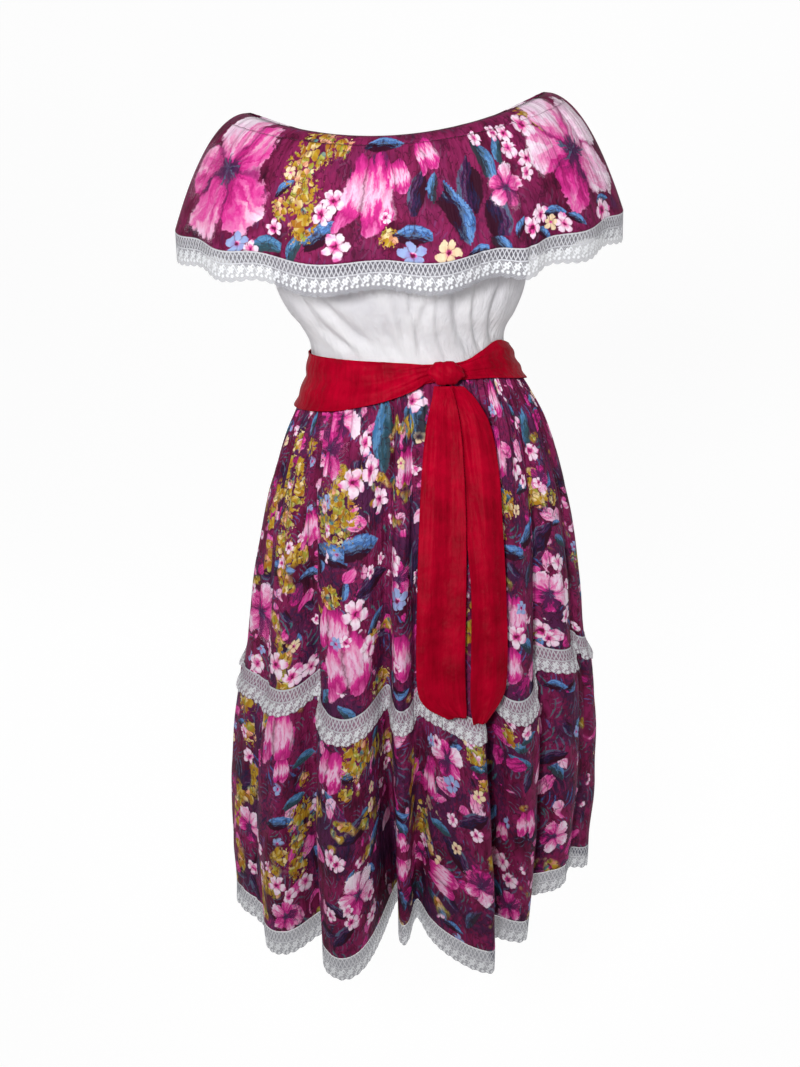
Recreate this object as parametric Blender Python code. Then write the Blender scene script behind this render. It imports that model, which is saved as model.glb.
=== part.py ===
"""A worn off-the-shoulder folk dress: ruffle, bodice, two-tiered skirt, lace trims and a tied sash.

Metres. X runs to the wearer's left, -Y is the front and Z is up.
The origin is the middle of the neckline, at shoulder height, where the wearer's shoulders hold the dress.
Angles run round the body from the front: 0 is the front, +90 the wearer's left side and 180 the back.
"""

import math
from collections import namedtuple

import bmesh
import bpy
from mathutils import Vector

MM = 0.001

# Cloth
COTTON = 1.2 * MM
LACE = 1.0 * MM
SATIN = 1.6 * MM
SEAM = 0.3 * MM
WAIST_SEAM = 0.8 * MM
BODICE_SEAM = 0.9 * MM
TIER_SEAM = 0.7 * MM

# Heights of the seams and edges, and the widths of the trims
WAIST_Z = -0.300
WAIST_TILT = 0.008
TIER_Z = -0.680
HEM_Z = -0.952
TIER_LACE = 0.028
HEM_LACE = 0.028
RUFFLE_LACE = 0.032
LACE_LAP = 0.006

# Gathers at a seam: how far they rise and fall
WAIST_GATHER = 4.0 * MM
TIER_GATHER = 3.0 * MM
NECK_GATHER = 2.6 * MM
COLUMNS_PER_GATHER = 4
FEWEST_COLUMNS = 8

# How upright a fold's walls are, and how far down the upper tier the folds take their full shape
FOLD_UPRIGHT = 0.30
FOLDS_FULL = 0.45

# The neckline's height round the body
NECK_FRONT_Z = -0.0295
NECK_BACK_Z = -0.042
NECK_SIDE_Z = 0.0025
NECK_TILT = 0.0115
NECK_HALF_WIDTH = 0.168
NECK_FRONT = 0.115
NECK_BACK = 0.102
CASING_HEIGHT = 0.009
CASING_WALL = 2.0 * MM
CASING_GATHER = 1.0 * MM

# From the casing's top edge the cloth spreads out over the shoulders, quickly and then less so
RUFFLE_DROP = 0.1195
RUFFLE_SIDE_FLARE = 0.091
RUFFLE_FRONT_FLARE = 0.052
RUFFLE_BACK_FLARE = 0.052
RUFFLE_CURVE = 0.5
RUFFLE_GATHERS = 14

# Ring sections of the skirt: level 0 is the waist, 1 the tier seam, 2 the cloth's hem
Section = namedtuple("Section", "level half_width front back")
SKIRT_SECTIONS = (
    Section(0.00, 0.1215, 0.0935, 0.0895),
    Section(0.05, 0.1300, 0.1010, 0.0970),
    Section(0.10, 0.1395, 0.1090, 0.1045),
    Section(0.20, 0.1550, 0.1240, 0.1200),
    Section(0.40, 0.1775, 0.1500, 0.1440),
    Section(0.60, 0.1915, 0.1690, 0.1600),
    Section(0.80, 0.2015, 0.1830, 0.1730),
    Section(1.00, 0.2095, 0.1930, 0.1825),
    Section(1.09, 0.2180, 0.2020, 0.1905),
    Section(1.28, 0.2240, 0.2100, 0.1990),
    Section(1.65, 0.2270, 0.2170, 0.2050),
    Section(2.00, 0.2230, 0.2220, 0.2070),
    Section(2.15, 0.2220, 0.2230, 0.2075),
)

# Ring sections of the bodice, by height
BodiceSection = namedtuple("BodiceSection", "z half_width front back")
BODICE_SECTIONS = (
    BodiceSection(-0.312, 0.1205, 0.0925, 0.0885),
    BodiceSection(-0.300, 0.1180, 0.0905, 0.0865),
    BodiceSection(-0.286, 0.1155, 0.0888, 0.0850),
    BodiceSection(-0.268, 0.1138, 0.0882, 0.0837),
    BodiceSection(-0.250, 0.1200, 0.0932, 0.0865),
    BodiceSection(-0.233, 0.1320, 0.1010, 0.0900),
    BodiceSection(-0.205, 0.1440, 0.1090, 0.0940),
    BodiceSection(-0.160, 0.1520, 0.1150, 0.0960),
    BodiceSection(-0.100, 0.1600, 0.1165, 0.0985),
    BodiceSection(-0.045, 0.1675, 0.1145, 0.1015),
    BodiceSection(0.020, 0.1675, 0.1145, 0.1015),
)
UNDERARM_Z = -0.165
ARMHOLE_TOP_DEG = 46
ARMHOLE_ROUND = 0.030

# The middle of the body moves towards +X from the neck down, because the wearer stands with one hip out
Centre = namedtuple("Centre", "z x")
BODY_CENTRE = (
    Centre(-1.000, 0.018),
    Centre(-0.360, 0.022),
    Centre(-0.320, 0.0195),
    Centre(-0.286, 0.0155),
    Centre(-0.250, 0.008),
    Centre(-0.210, 0.0045),
    Centre(-0.100, 0.002),
    Centre(0.000, 0.000),
    Centre(0.040, 0.000),
)

# The skirt's folds. A valley is where the cloth goes in, and a ridge is the fold between two valleys.
# Angles in degrees at the waist, tier seam and hem. Depths, set-backs and lifts in mm.
Valley = namedtuple("Valley", "waist tier hem tier_depth hem_depth tier_lift hem_lift")
Ridge = namedtuple("Ridge", "tier_set hem_set tier_lift hem_lift lean roundness gathers")
FRONT_VALLEYS = (
    Valley(-90, -90, -90, 14, 20, 24, 28),
    Valley(-74, -62, -62, 12, 16, 15, 10),
    Valley(-57, -39, -38, 38, 50, 42, 20),
    Valley(-14, -11, -9.5, 50, 118, 30, 42),
    Valley(-1, 2.0, 2.5, 38, 84, 28, 36),
    Valley(42, 26, 32, 44, 62, 42, 16),
    Valley(60, 53, 51, 38, 54, 62, 50),
    Valley(76, 72, 71, 14, 18, 68, 70),
)
FRONT_RIDGES = (
    Ridge(0, 0, 20, 20, 0.0, 0.5, 2),
    Ridge(0, 4, 18, -2, 0.0, 0.65, 2),
    Ridge(0, 0, 0, -5, -0.04, 0.6, 3),
    Ridge(20, 52, 8, 18, 0.0, 0.2, 2),
    Ridge(0, 0, 2, 2, -0.34, 0.6, 3),
    Ridge(6, 16, 12, 18, 0.1, 0.5, 2),
    Ridge(4, 12, 56, 64, 0.0, 0.6, 2),
    Ridge(0, 0, 54, 64, 0.0, 0.5, 2),
)
RIGHT_SEAM = Valley(90, 90, 90, 14, 20, 50, 60)
BACK_FOLDS = 7
BACK_TIER_DEPTH = 28
BACK_HEM_DEPTH = 42
BACK_DEPTH_SWING = 9
BACK_ANGLE_SWING = 3.5
BACK_SWING_STEP = 2.4

# The soft waves along the ruffle's edge: where each one goes in, and how far. Degrees and mm.
Wave = namedtuple("Wave", "angle depth sag")
RUFFLE_WAVES = (
    Wave(-90, 3, 0),
    Wave(-62, 5, 4),
    Wave(-38, 8, 5),
    Wave(-5, 9, 6),
    Wave(25, 10, 5),
    Wave(41, 7, 4),
    Wave(66, 5, 3),
    Wave(90, 3, 0),
    Wave(118, 6, 4),
    Wave(147, 9, 5),
    Wave(180, 8, 5),
    Wave(212, 9, 4),
    Wave(242, 6, 4),
    Wave(270, 3, 0),
)

# The sash round the waist: its edges by angle. Above the waist seam it draws in towards the bodice.
SashEdge = namedtuple("SashEdge", "angle top bottom")
SASH_EDGES = (
    SashEdge(-180, -0.280, -0.337),
    SashEdge(-90, -0.281, -0.344),
    SashEdge(-45, -0.280, -0.338),
    SashEdge(-20, -0.280, -0.326),
    SashEdge(0, -0.281, -0.311),
    SashEdge(8, -0.282, -0.3025),
    SashEdge(30, -0.280, -0.300),
    SashEdge(46, -0.270, -0.301),
    SashEdge(64, -0.262, -0.305),
    SashEdge(90, -0.271, -0.312),
    SashEdge(135, -0.278, -0.328),
    SashEdge(180, -0.280, -0.337),
)
SASH_COLUMNS = 48
SASH_ROWS = 4
SASH_STAND_OFF = 1.3 * MM
SASH_TUCK = 0.25
SASH_CREASES = 2.5
SASH_CREASE = 0.9 * MM

# The knot, and the two hanging ends: how far down each row is, and its two edges' X
KNOT_X = 0.055
KNOT_Z = -0.290
KNOT_HALF = (0.0225, 0.0105, 0.0145)
KNOT_TURNS = 3
KNOT_GROOVE = 0.10
KNOT_BOTTOM = KNOT_HALF[2] - KNOT_Z + SEAM
TailRow = namedtuple("TailRow", "down left right")
NEAR_TAIL = (
    TailRow(KNOT_BOTTOM, 0.042, 0.061),
    TailRow(0.318, 0.034, 0.066),
    TailRow(0.350, 0.030, 0.072),
    TailRow(0.400, 0.027, 0.076),
    TailRow(0.460, 0.025, 0.078),
    TailRow(0.530, 0.023, 0.078),
    TailRow(0.600, 0.022, 0.077),
    TailRow(0.640, 0.025, 0.078),
    TailRow(0.655, 0.036, 0.079),
    TailRow(0.667, 0.058, 0.079),
)
FAR_TAIL = (
    TailRow(KNOT_BOTTOM, 0.0615, 0.075),
    TailRow(0.318, 0.0670, 0.096),
    TailRow(0.350, 0.0745, 0.110),
    TailRow(0.400, 0.0800, 0.116),
    TailRow(0.460, 0.0830, 0.120),
    TailRow(0.530, 0.0840, 0.124),
    TailRow(0.600, 0.0840, 0.126),
    TailRow(0.640, 0.0835, 0.124),
    TailRow(0.656, 0.0840, 0.117),
    TailRow(0.676, 0.0870, 0.102),
)
TAIL_COLUMNS = 6
TAIL_STAND_OFF = 2.2 * MM
TAIL_RIPPLE = 2.2 * MM
TAIL_RIPPLES = 2.6
TAIL_EASE = 0.05

# Where the rows of faces lie on each piece
UPPER_LENGTH = WAIST_Z - TIER_Z
LOWER_LENGTH = TIER_Z - HEM_Z
UPPER_LEVELS = (0.0, 0.035, 0.10, 0.20, 0.36, 0.56, 0.78, 1.0)
LOWER_LEVELS = (1 + TIER_SEAM / LOWER_LENGTH, 1.09, 1.26, 1.60, 2.0)
TIER_LACE_LEVELS = (1 - LACE_LAP / UPPER_LENGTH, 1.0, 1 + (TIER_LACE - LACE_LAP) / LOWER_LENGTH)
HEM_LACE_LEVELS = (2 + SEAM / LOWER_LENGTH, 2 + HEM_LACE / LOWER_LENGTH)
RUFFLE_TOP = CASING_HEIGHT + SEAM
RUFFLE_EDGE = CASING_HEIGHT + RUFFLE_DROP
CASING_DROPS = (0.0, 0.003, CASING_HEIGHT)
RUFFLE_DROPS = (RUFFLE_TOP, 0.013, 0.024, 0.048, 0.084, RUFFLE_EDGE)
RUFFLE_LACE_DROPS = (RUFFLE_EDGE + SEAM, RUFFLE_EDGE + RUFFLE_LACE)
BODICE_COLUMNS = 20
BODICE_LEVELS = (0.0, 0.15, 0.35, 0.55, 0.70, 0.80, 0.88, 0.94, 1.0)

BURGUNDY = (0.235, 0.012, 0.075)
COTTON_WHITE = (0.80, 0.79, 0.80)
LACE_WHITE = (0.72, 0.74, 0.76)
SASH_RED = (0.48, 0.004, 0.014)


def mix(a, b, share):
    return a + (b - a) * share


def smooth(share):
    share = min(1.0, max(0.0, share))
    return share * share * (3 - 2 * share)


def read(rows, at, column):
    """A table's column at a value of its first column, on a smooth curve through the rows."""
    keys = [row[0] for row in rows]
    values = [getattr(row, column) for row in rows]
    if at <= keys[0]:
        return values[0]
    if at >= keys[-1]:
        return values[-1]
    i = max(k for k in range(len(keys) - 1) if keys[k] <= at)
    slopes = []
    for k in (i, i + 1):
        low, high = max(k - 1, 0), min(k + 1, len(keys) - 1)
        slopes.append((values[high] - values[low]) / (keys[high] - keys[low]))
    span = keys[i + 1] - keys[i]
    t = (at - keys[i]) / span
    near = (1 + 2 * t) * (1 - t) ** 2 * values[i] + t * (1 - t) ** 2 * span * slopes[0]
    far = t * t * (3 - 2 * t) * values[i + 1] + t * t * (t - 1) * span * slopes[1]
    return near + far


def centre_x(z):
    return read(BODY_CENTRE, z, "x")


def ring(angle, half_width, front, back, inset=0.0):
    """X and Y on an oval section, the given distance inside it. The angle is in degrees."""
    turn = math.radians(angle)
    depth = front if math.cos(turn) > 0 else back
    return (half_width - inset) * math.sin(turn), -(depth - inset) * math.cos(turn)


def neck_z(angle):
    turn = math.radians(angle)
    middle = NECK_FRONT_Z if math.cos(turn) > 0 else NECK_BACK_Z
    return mix(middle, NECK_SIDE_Z, math.sin(turn) ** 2) + NECK_TILT * math.sin(turn)


def waist_z(angle):
    return WAIST_Z + WAIST_TILT * math.sin(math.radians(angle))


def back_folds():
    """The back's valleys and ridges: even folds from one side seam to the other, each a little different."""
    first, last = RIGHT_SEAM, FRONT_VALLEYS[0]
    valleys = [first]
    for i in range(1, BACK_FOLDS):
        share = i / BACK_FOLDS
        swing = math.sin(BACK_SWING_STEP * i)
        angle = 90 + 180 * share
        turned = angle + BACK_ANGLE_SWING * swing
        depth = BACK_DEPTH_SWING * swing
        valleys.append(Valley(
            angle, turned, turned, BACK_TIER_DEPTH + depth, BACK_HEM_DEPTH + depth,
            mix(first.tier_lift, last.tier_lift, share), mix(first.hem_lift, last.hem_lift, share)))
    ridges = []
    for i, left in enumerate(valleys):
        right = valleys[i + 1] if i + 1 < len(valleys) else last
        tier_lift = (left.tier_lift + right.tier_lift) / 2
        hem_lift = (left.hem_lift + right.hem_lift) / 2
        ridges.append(Ridge(0, 0, tier_lift, hem_lift, 0.0, 0.5, 2))
    return valleys, ridges


BACK_VALLEYS, BACK_RIDGES = back_folds()
VALLEYS = list(FRONT_VALLEYS) + BACK_VALLEYS
RIDGES = list(FRONT_RIDGES) + BACK_RIDGES


def turn_between(start, end, share):
    """An angle part of the way from one to another that is further round."""
    return start + ((end - start) % 360) * share


def skirt_point(fold, level):
    """A point of the skirt's outer face: fold counts folds from a side seam, level runs down the cloth."""
    i = math.floor(fold)
    t = fold - i
    left, right, ridge = VALLEYS[i % len(VALLEYS)], VALLEYS[(i + 1) % len(VALLEYS)], RIDGES[i % len(RIDGES)]
    upper, lower = min(max(level, 0.0), 1.0), max(level - 1.0, 0.0)

    full = smooth(level / FOLDS_FULL)
    swing = ridge.roundness * math.sin(2 * math.pi * t) - FOLD_UPRIGHT * math.sin(4 * math.pi * t) / 2
    around = t - full * swing / (2 * math.pi)
    leaned = t + ridge.lean * math.sin(math.pi * t) ** 2 / 2
    out = (1 - math.cos(2 * math.pi * leaned)) / 2

    at_waist = turn_between(left.waist, right.waist, around)
    at_tier = turn_between(left.tier, right.tier, around)
    at_hem = turn_between(left.hem, right.hem, around)
    angle = mix(at_waist, at_tier, upper ** 0.6)
    if lower > 0:
        angle = mix(at_tier, at_hem, min(lower, 1.0))

    left_depth = mix(left.tier_depth, left.hem_depth, lower)
    right_depth = mix(right.tier_depth, right.hem_depth, lower)
    valley_depth = mix(left_depth, right_depth, smooth(t))
    ridge_depth = mix(ridge.tier_set, ridge.hem_set, lower)
    depth = mix(valley_depth, ridge_depth, out) * upper ** 0.85 * MM

    gather = (1 - math.cos(2 * math.pi * ridge.gathers * t)) / 2
    if level <= 1.0:
        gather *= WAIST_GATHER * (1 - upper) ** 2
    else:
        gather *= TIER_GATHER * math.sin(math.pi * min(1.0, 2 * lower))

    tier_z = TIER_Z + mix(mix(left.tier_lift, right.tier_lift, smooth(t)), ridge.tier_lift, out) * MM
    hem_z = HEM_Z + mix(mix(left.hem_lift, right.hem_lift, smooth(t)), ridge.hem_lift, out) * MM
    z = mix(waist_z(angle), tier_z, level) if level <= 1.0 else mix(tier_z, hem_z, lower)
    sizes = [read(SKIRT_SECTIONS, level, name) for name in ("half_width", "front", "back")]
    x, y = ring(angle, *sizes, inset=depth + gather)
    return x + centre_x(z), y, z


def skirt_columns(first, last):
    """Where the columns of faces stand along the folds, from one side seam to the other."""
    places = []
    for i in range(first, last):
        count = max(FEWEST_COLUMNS, COLUMNS_PER_GATHER * RIDGES[i].gathers)
        places.extend(i + k / count for k in range(count))
    return places + [last]


def neck_cloth(angle, drop):
    """A point of the casing's or the ruffle's outer face, at an angle and this far below the neckline."""
    angle = (angle + 90) % 360 - 90
    i = max(k for k in range(len(RUFFLE_WAVES) - 1) if RUFFLE_WAVES[k].angle <= angle)
    left, right = RUFFLE_WAVES[i], RUFFLE_WAVES[i + 1]
    t = (angle - left.angle) / (right.angle - left.angle)
    crest = math.sin(math.pi * t) ** 2
    down = max(0.0, (drop - CASING_HEIGHT) / RUFFLE_DROP)
    wave = mix(left.depth, right.depth, smooth(t)) * (1 - crest) * down ** 1.5 * MM
    sag = mix(left.sag, right.sag, smooth(t)) * crest * down ** 2 * MM
    held = min(max(drop / CASING_HEIGHT, 0.0), 1.0)
    gather = (1 - math.cos(math.radians(2 * RUFFLE_GATHERS * (angle + 90)))) / 2
    gather *= mix(CASING_GATHER, NECK_GATHER, held) * max(0.0, 1 - down) ** 1.5
    spread = min(max(drop / (CASING_HEIGHT + RUFFLE_DROP), 0.0), 1.0) ** RUFFLE_CURVE
    x, y = ring(
        angle,
        NECK_HALF_WIDTH + RUFFLE_SIDE_FLARE * spread,
        NECK_FRONT + RUFFLE_FRONT_FLARE * spread,
        NECK_BACK + RUFFLE_BACK_FLARE * spread,
        inset=wave + gather)
    z = neck_z(angle) - drop - sag
    return x + centre_x(z), y, z


def bodice_reach(z):
    """How far round a bodice panel reaches from its middle, in degrees: less above the underarm."""
    above = smooth((z - UNDERARM_Z) / ARMHOLE_ROUND / 2)
    return mix(90, ARMHOLE_TOP_DEG, above)


def bodice_sizes(z):
    return [read(BODICE_SECTIONS, z, name) for name in ("half_width", "front", "back")]


def bodice_point(middle, across, level):
    """A point of a bodice panel's outer face; middle is the angle that the panel faces."""
    about = mix(neck_z(middle + ARMHOLE_TOP_DEG * across), waist_z(middle + 90 * across), level)
    angle = middle + across * bodice_reach(about)
    top = neck_z(angle) - CASING_WALL - BODICE_SEAM
    z = mix(top, waist_z(angle) + WAIST_SEAM, level)
    x, y = ring(angle, *bodice_sizes(z))
    return x + centre_x(z), y, z


def under_sash(angle, z):
    """The ring section of what the sash is tied over."""
    above = z - waist_z(angle)
    level = max(0.0, -above / UPPER_LENGTH)
    skirt = [read(SKIRT_SECTIONS, level, name) for name in ("half_width", "front", "back")]
    return [max(s - SASH_TUCK * max(0.0, above), b) for s, b in zip(skirt, bodice_sizes(max(z, -0.300)))]


def sash_point(angle, share):
    """A point of the sash's outer face; share runs from its top edge down."""
    angle = (angle + 180) % 360 - 180
    z = mix(read(SASH_EDGES, angle, "top"), read(SASH_EDGES, angle, "bottom"), share)
    crease = SASH_CREASE * (1 - math.cos(2 * math.pi * SASH_CREASES * share))
    x, y = ring(angle, *under_sash(angle, z), inset=-(SASH_STAND_OFF + SATIN + crease))
    return x + centre_x(z), y, z


def front_y(x, z, half_width, front):
    """Y of an oval section at the front, at a place seen from the front."""
    across = min(0.98, abs(x - centre_x(z)) / half_width)
    return -front * math.sqrt(1 - across ** 2)


def skirt_front_y(x, z):
    """Y of the skirt's outermost face at the front."""
    level = (WAIST_Z - z) / UPPER_LENGTH
    if z < TIER_Z:
        level = 1 + (TIER_Z - z) / LOWER_LENGTH
    half_width = read(SKIRT_SECTIONS, level, "half_width")
    return front_y(x, z, half_width, read(SKIRT_SECTIONS, level, "front"))


def knot_middle_y():
    """Y of the knot's middle: it lies on the sash's front."""
    angle = math.degrees(math.asin((KNOT_X - centre_x(KNOT_Z)) / under_sash(0, KNOT_Z)[0]))
    return sash_point(angle, 0.5)[1] - 2 * SASH_CREASE - SEAM - KNOT_HALF[1]


def tail_point(rows, phase, across, down):
    """A point of a sash end's front face: across runs over its width, down is how far below the knot."""
    z = -down
    x = mix(read(rows, down, "left"), read(rows, down, "right"), across)
    free = smooth((down - rows[0].down) / TAIL_EASE)
    ripple = TAIL_RIPPLE * math.sin(math.pi * (TAIL_RIPPLES * across + phase))
    hanging = skirt_front_y(x, z) - TAIL_STAND_OFF - TAIL_RIPPLE - SATIN - ripple
    return x, mix(knot_middle_y() - SATIN / 2, hanging, free), z


def fabric(name, colour, roughness, sheen):
    """A cloth's material: its colour, how dull it is and how much it shines along its nap."""
    material = bpy.data.materials.new(name)
    material.use_nodes = True
    shader = material.node_tree.nodes["Principled BSDF"]
    shader.inputs["Base Color"].default_value = (*colour, 1)
    shader.inputs["Roughness"].default_value = roughness
    shader.inputs["Metallic"].default_value = 0.0
    shader.inputs["Sheen Weight"].default_value = sheen
    material.diffuse_color = (*colour, 1)
    return material


def face_normal(point, column, row, column_step, row_step):
    """The direction straight out of a surface."""
    right, left = Vector(point(column + column_step, row)), Vector(point(column - column_step, row))
    below, above = Vector(point(column, row + row_step)), Vector(point(column, row - row_step))
    return (below - above).cross(right - left).normalized()


def wall(name, columns, rows, point, material, inner, outer,
         closed=False, side=0, column_step=0.01, row_step=0.01):
    """A cloth panel: a slab of faces wrapped on to a surface.

    point(column, row) is the surface, and inner and outer are how far out from it the two faces lie.
    side is -1 for a front half and 1 for a back half: its two end columns then lie on the side seams.
    """
    form = bmesh.new()
    across, down = len(columns) - 1, len(rows) - 1
    bmesh.ops.create_grid(form, x_segments=across, y_segments=down, size=0.5)
    raised = bmesh.ops.extrude_face_region(form, geom=form.faces, use_keep_orig=True)["geom"]
    raised = [item for item in raised if isinstance(item, bmesh.types.BMVert)]
    bmesh.ops.translate(form, verts=raised, vec=(0, 0, 1))
    if closed:
        ends = [face for face in form.faces if all(abs(vertex.co.x) > 0.4999 for vertex in face.verts)]
        bmesh.ops.delete(form, geom=ends, context="FACES")
    for vertex in form.verts:
        i = round((vertex.co.x + 0.5) * across)
        j = round((0.5 - vertex.co.y) * down)
        distance = outer if vertex.co.z > 0.5 else inner
        place = Vector(point(columns[i], rows[j]))
        place += face_normal(point, columns[i], rows[j], column_step, row_step) * distance
        if side and i in (0, across):
            place.y = side * SEAM / 2
        vertex.co = place
    if closed:
        bmesh.ops.remove_doubles(form, verts=form.verts, dist=0.01 * MM)
    return keep(name, form, material)


def keep(name, form, material):
    """Turns a finished shape into a named object, its faces pointing out."""
    bmesh.ops.recalc_face_normals(form, faces=form.faces)
    if form.calc_volume(signed=True) < 0:
        bmesh.ops.reverse_faces(form, faces=form.faces)
    mesh = bpy.data.meshes.new(name)
    form.to_mesh(mesh)
    form.free()
    mesh.materials.append(material)
    mesh.shade_smooth()
    panel = bpy.data.objects.new(name, mesh)
    bpy.context.scene.collection.objects.link(panel)
    return panel


def even(start, end, count):
    return [mix(start, end, k / count) for k in range(count + 1)]


def skirt(print_cloth, lace):
    """Both tiers, the lace over their seam and the lace at the hem, each in a front and a back half."""
    halves = (("front", -1, 0, len(FRONT_RIDGES)), ("back", 1, len(FRONT_RIDGES), len(RIDGES)))
    for half, side, first, last in halves:
        columns = skirt_columns(first, last)
        wall(f"upper_tier_{half}", columns, UPPER_LEVELS, skirt_point, print_cloth, -COTTON, 0, side=side)
        wall(f"lower_tier_{half}", columns, LOWER_LEVELS, skirt_point, print_cloth, -COTTON, 0, side=side)
        wall(f"tier_lace_{half}", columns, TIER_LACE_LEVELS, skirt_point, lace, SEAM, SEAM + LACE, side=side)
        wall(f"hem_lace_{half}", columns, HEM_LACE_LEVELS, skirt_point, lace, -LACE, 0, side=side)


def neck(print_cloth, lace):
    """The elastic's casing, and the ruffle that hangs from it with lace along its edge."""
    gather_columns = COLUMNS_PER_GATHER * RUFFLE_GATHERS
    around, step, down = even(-90, 270, 2 * gather_columns), 0.5, 0.5 * MM
    wall("neck_casing", around, CASING_DROPS, neck_cloth, print_cloth, -CASING_WALL, 0,
         closed=True, column_step=step, row_step=down)
    for half, side, start in (("front", -1, -90), ("back", 1, 90)):
        columns = even(start, start + 180, gather_columns)
        wall(f"ruffle_{half}", columns, RUFFLE_DROPS, neck_cloth, print_cloth, -COTTON, 0,
             side=side, column_step=step, row_step=down)
        wall(f"ruffle_lace_{half}", columns, RUFFLE_LACE_DROPS, neck_cloth, lace, -LACE, 0,
             side=side, column_step=step, row_step=down)


def bodice(cotton):
    for half, side, middle in (("front", -1, 0), ("back", 1, 180)):
        def face(across, level, middle=middle):
            return bodice_point(middle, across, level)
        panel = wall(f"bodice_{half}", even(-1, 1, BODICE_COLUMNS), BODICE_LEVELS, face, cotton, -COTTON, 0)
        for vertex in panel.data.vertices:
            vertex.co.y = side * max(SEAM / 2, side * vertex.co.y)


def sash(satin):
    wall("sash_band", even(-180, 180, SASH_COLUMNS), even(0, 1, SASH_ROWS), sash_point, satin,
         -SATIN, 0, closed=True, column_step=0.5)
    for name, rows, phase in (("sash_end_near", NEAR_TAIL, 0.15), ("sash_end_far", FAR_TAIL, 0.70)):
        def face(across, down, rows=rows, phase=phase):
            return tail_point(rows, phase, across, down)
        wall(name, even(0, 1, TAIL_COLUMNS), [row.down for row in rows], face, satin, -SATIN, 0)
    knot(satin)


def knot(satin):
    """The knot: a rounded lump with the sash's turns running over it."""
    form = bmesh.new()
    bmesh.ops.create_uvsphere(form, u_segments=18, v_segments=10, radius=1.0)
    middle_y = knot_middle_y()
    for vertex in form.verts:
        x, y, z = vertex.co
        groove = 1 - KNOT_GROOVE * (1 - math.cos(KNOT_TURNS * math.pi * (x + 0.6 * z))) / 2
        vertex.co = (
            KNOT_X + KNOT_HALF[0] * x * groove,
            middle_y + KNOT_HALF[1] * y * groove,
            KNOT_Z + KNOT_HALF[2] * z * groove)
    keep("sash_knot", form, satin)


def build():
    for old in list(bpy.data.objects):
        bpy.data.objects.remove(old, do_unlink=True)
    print_cloth = fabric("flower_print_cotton", BURGUNDY, 0.62, 0.2)
    cotton = fabric("white_cotton", COTTON_WHITE, 0.85, 0.1)
    lace = fabric("white_lace", LACE_WHITE, 0.7, 0.1)
    satin = fabric("red_satin", SASH_RED, 0.38, 0.4)
    skirt(print_cloth, lace)
    neck(print_cloth, lace)
    bodice(cotton)
    sash(satin)


build()
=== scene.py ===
import math
from collections import namedtuple
from functools import partial, reduce

import bmesh
import bpy
import numpy as np
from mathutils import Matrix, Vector


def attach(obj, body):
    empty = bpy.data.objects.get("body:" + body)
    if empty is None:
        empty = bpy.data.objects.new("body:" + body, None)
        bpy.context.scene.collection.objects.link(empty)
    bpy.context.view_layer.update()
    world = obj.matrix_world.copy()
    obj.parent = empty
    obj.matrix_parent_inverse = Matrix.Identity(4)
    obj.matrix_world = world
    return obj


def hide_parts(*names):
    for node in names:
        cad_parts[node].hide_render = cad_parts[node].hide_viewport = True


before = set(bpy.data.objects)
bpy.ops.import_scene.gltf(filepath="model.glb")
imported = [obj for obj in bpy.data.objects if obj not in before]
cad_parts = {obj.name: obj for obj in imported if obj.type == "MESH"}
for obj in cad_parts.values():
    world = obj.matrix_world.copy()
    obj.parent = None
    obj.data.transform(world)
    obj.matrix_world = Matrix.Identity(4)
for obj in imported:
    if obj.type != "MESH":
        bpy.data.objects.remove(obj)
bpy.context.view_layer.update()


def table(columns, *rows):
    """A short table: rows of numbers, with the columns' names."""
    row_of = namedtuple("Row", columns)
    return [row_of(*row) for row in rows]


# The dress's own sizes, in metres, as its solids have them. X runs to the wearer's left, -Y is the front.
# Angles run round the body from the front: 0 is the front, +90 the wearer's left side and 180 the back.
MM = 0.001
COTTON = 0.7 * MM
SATIN = 0.9 * MM
SEAM = 0.3 * MM
WAIST_SEAM = 0.8 * MM
BODICE_SEAM = 0.9 * MM
TIER_SEAM = 0.7 * MM
WAIST_Z = -0.300
WAIST_TILT = 0.008
TIER_Z = -0.680
HEM_Z = -0.952
UPPER_LENGTH = WAIST_Z - TIER_Z
LOWER_LENGTH = TIER_Z - HEM_Z
SKIRT_LACE = 0.028
RUFFLE_LACE = 0.032
LACE_LAP = 0.006
LACE_TOP = 1 - LACE_LAP / UPPER_LENGTH
LACE_STAND_OFF = 0.7 * MM
LACE_HANG = 2.4 * MM
SCALLOP = 11.5 * MM
SCALLOP_DIP = 2.2 * MM
WAIST_GATHER = 11.5 * MM
WAIST_FINE_GATHER = 3.2 * MM
TIER_GATHER = 5.0 * MM
TIER_FINE_GATHER = 1.2 * MM
NECK_GATHER = 2.8 * MM
LONG_CREASE = 1.6 * MM
SLANTING_CREASE = 0.7 * MM
FOLD_UPRIGHT = 0.30
FOLDS_FULL = 0.45
NECK_FRONT_Z = -0.0295
NECK_BACK_Z = -0.042
NECK_SIDE_Z = 0.0025
NECK_TILT = 0.0115
NECK_HALF_WIDTH = 0.168
NECK_FRONT = 0.115
NECK_BACK = 0.102
CASING_HEIGHT = 0.009
CASING_WALL = 2.0 * MM
CASING_GATHER = 1.0 * MM
RUFFLE_DROP = 0.1195
RUFFLE_SIDE_FLARE = 0.091
RUFFLE_FRONT_FLARE = 0.052
RUFFLE_BACK_FLARE = 0.052
RUFFLE_CURVE = 0.5
RUFFLE_GATHERS = 22.4
RUFFLE_RADIUS = 0.19
RUFFLE_EASE = 1.06
UPPER_EASE = 1.03

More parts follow.
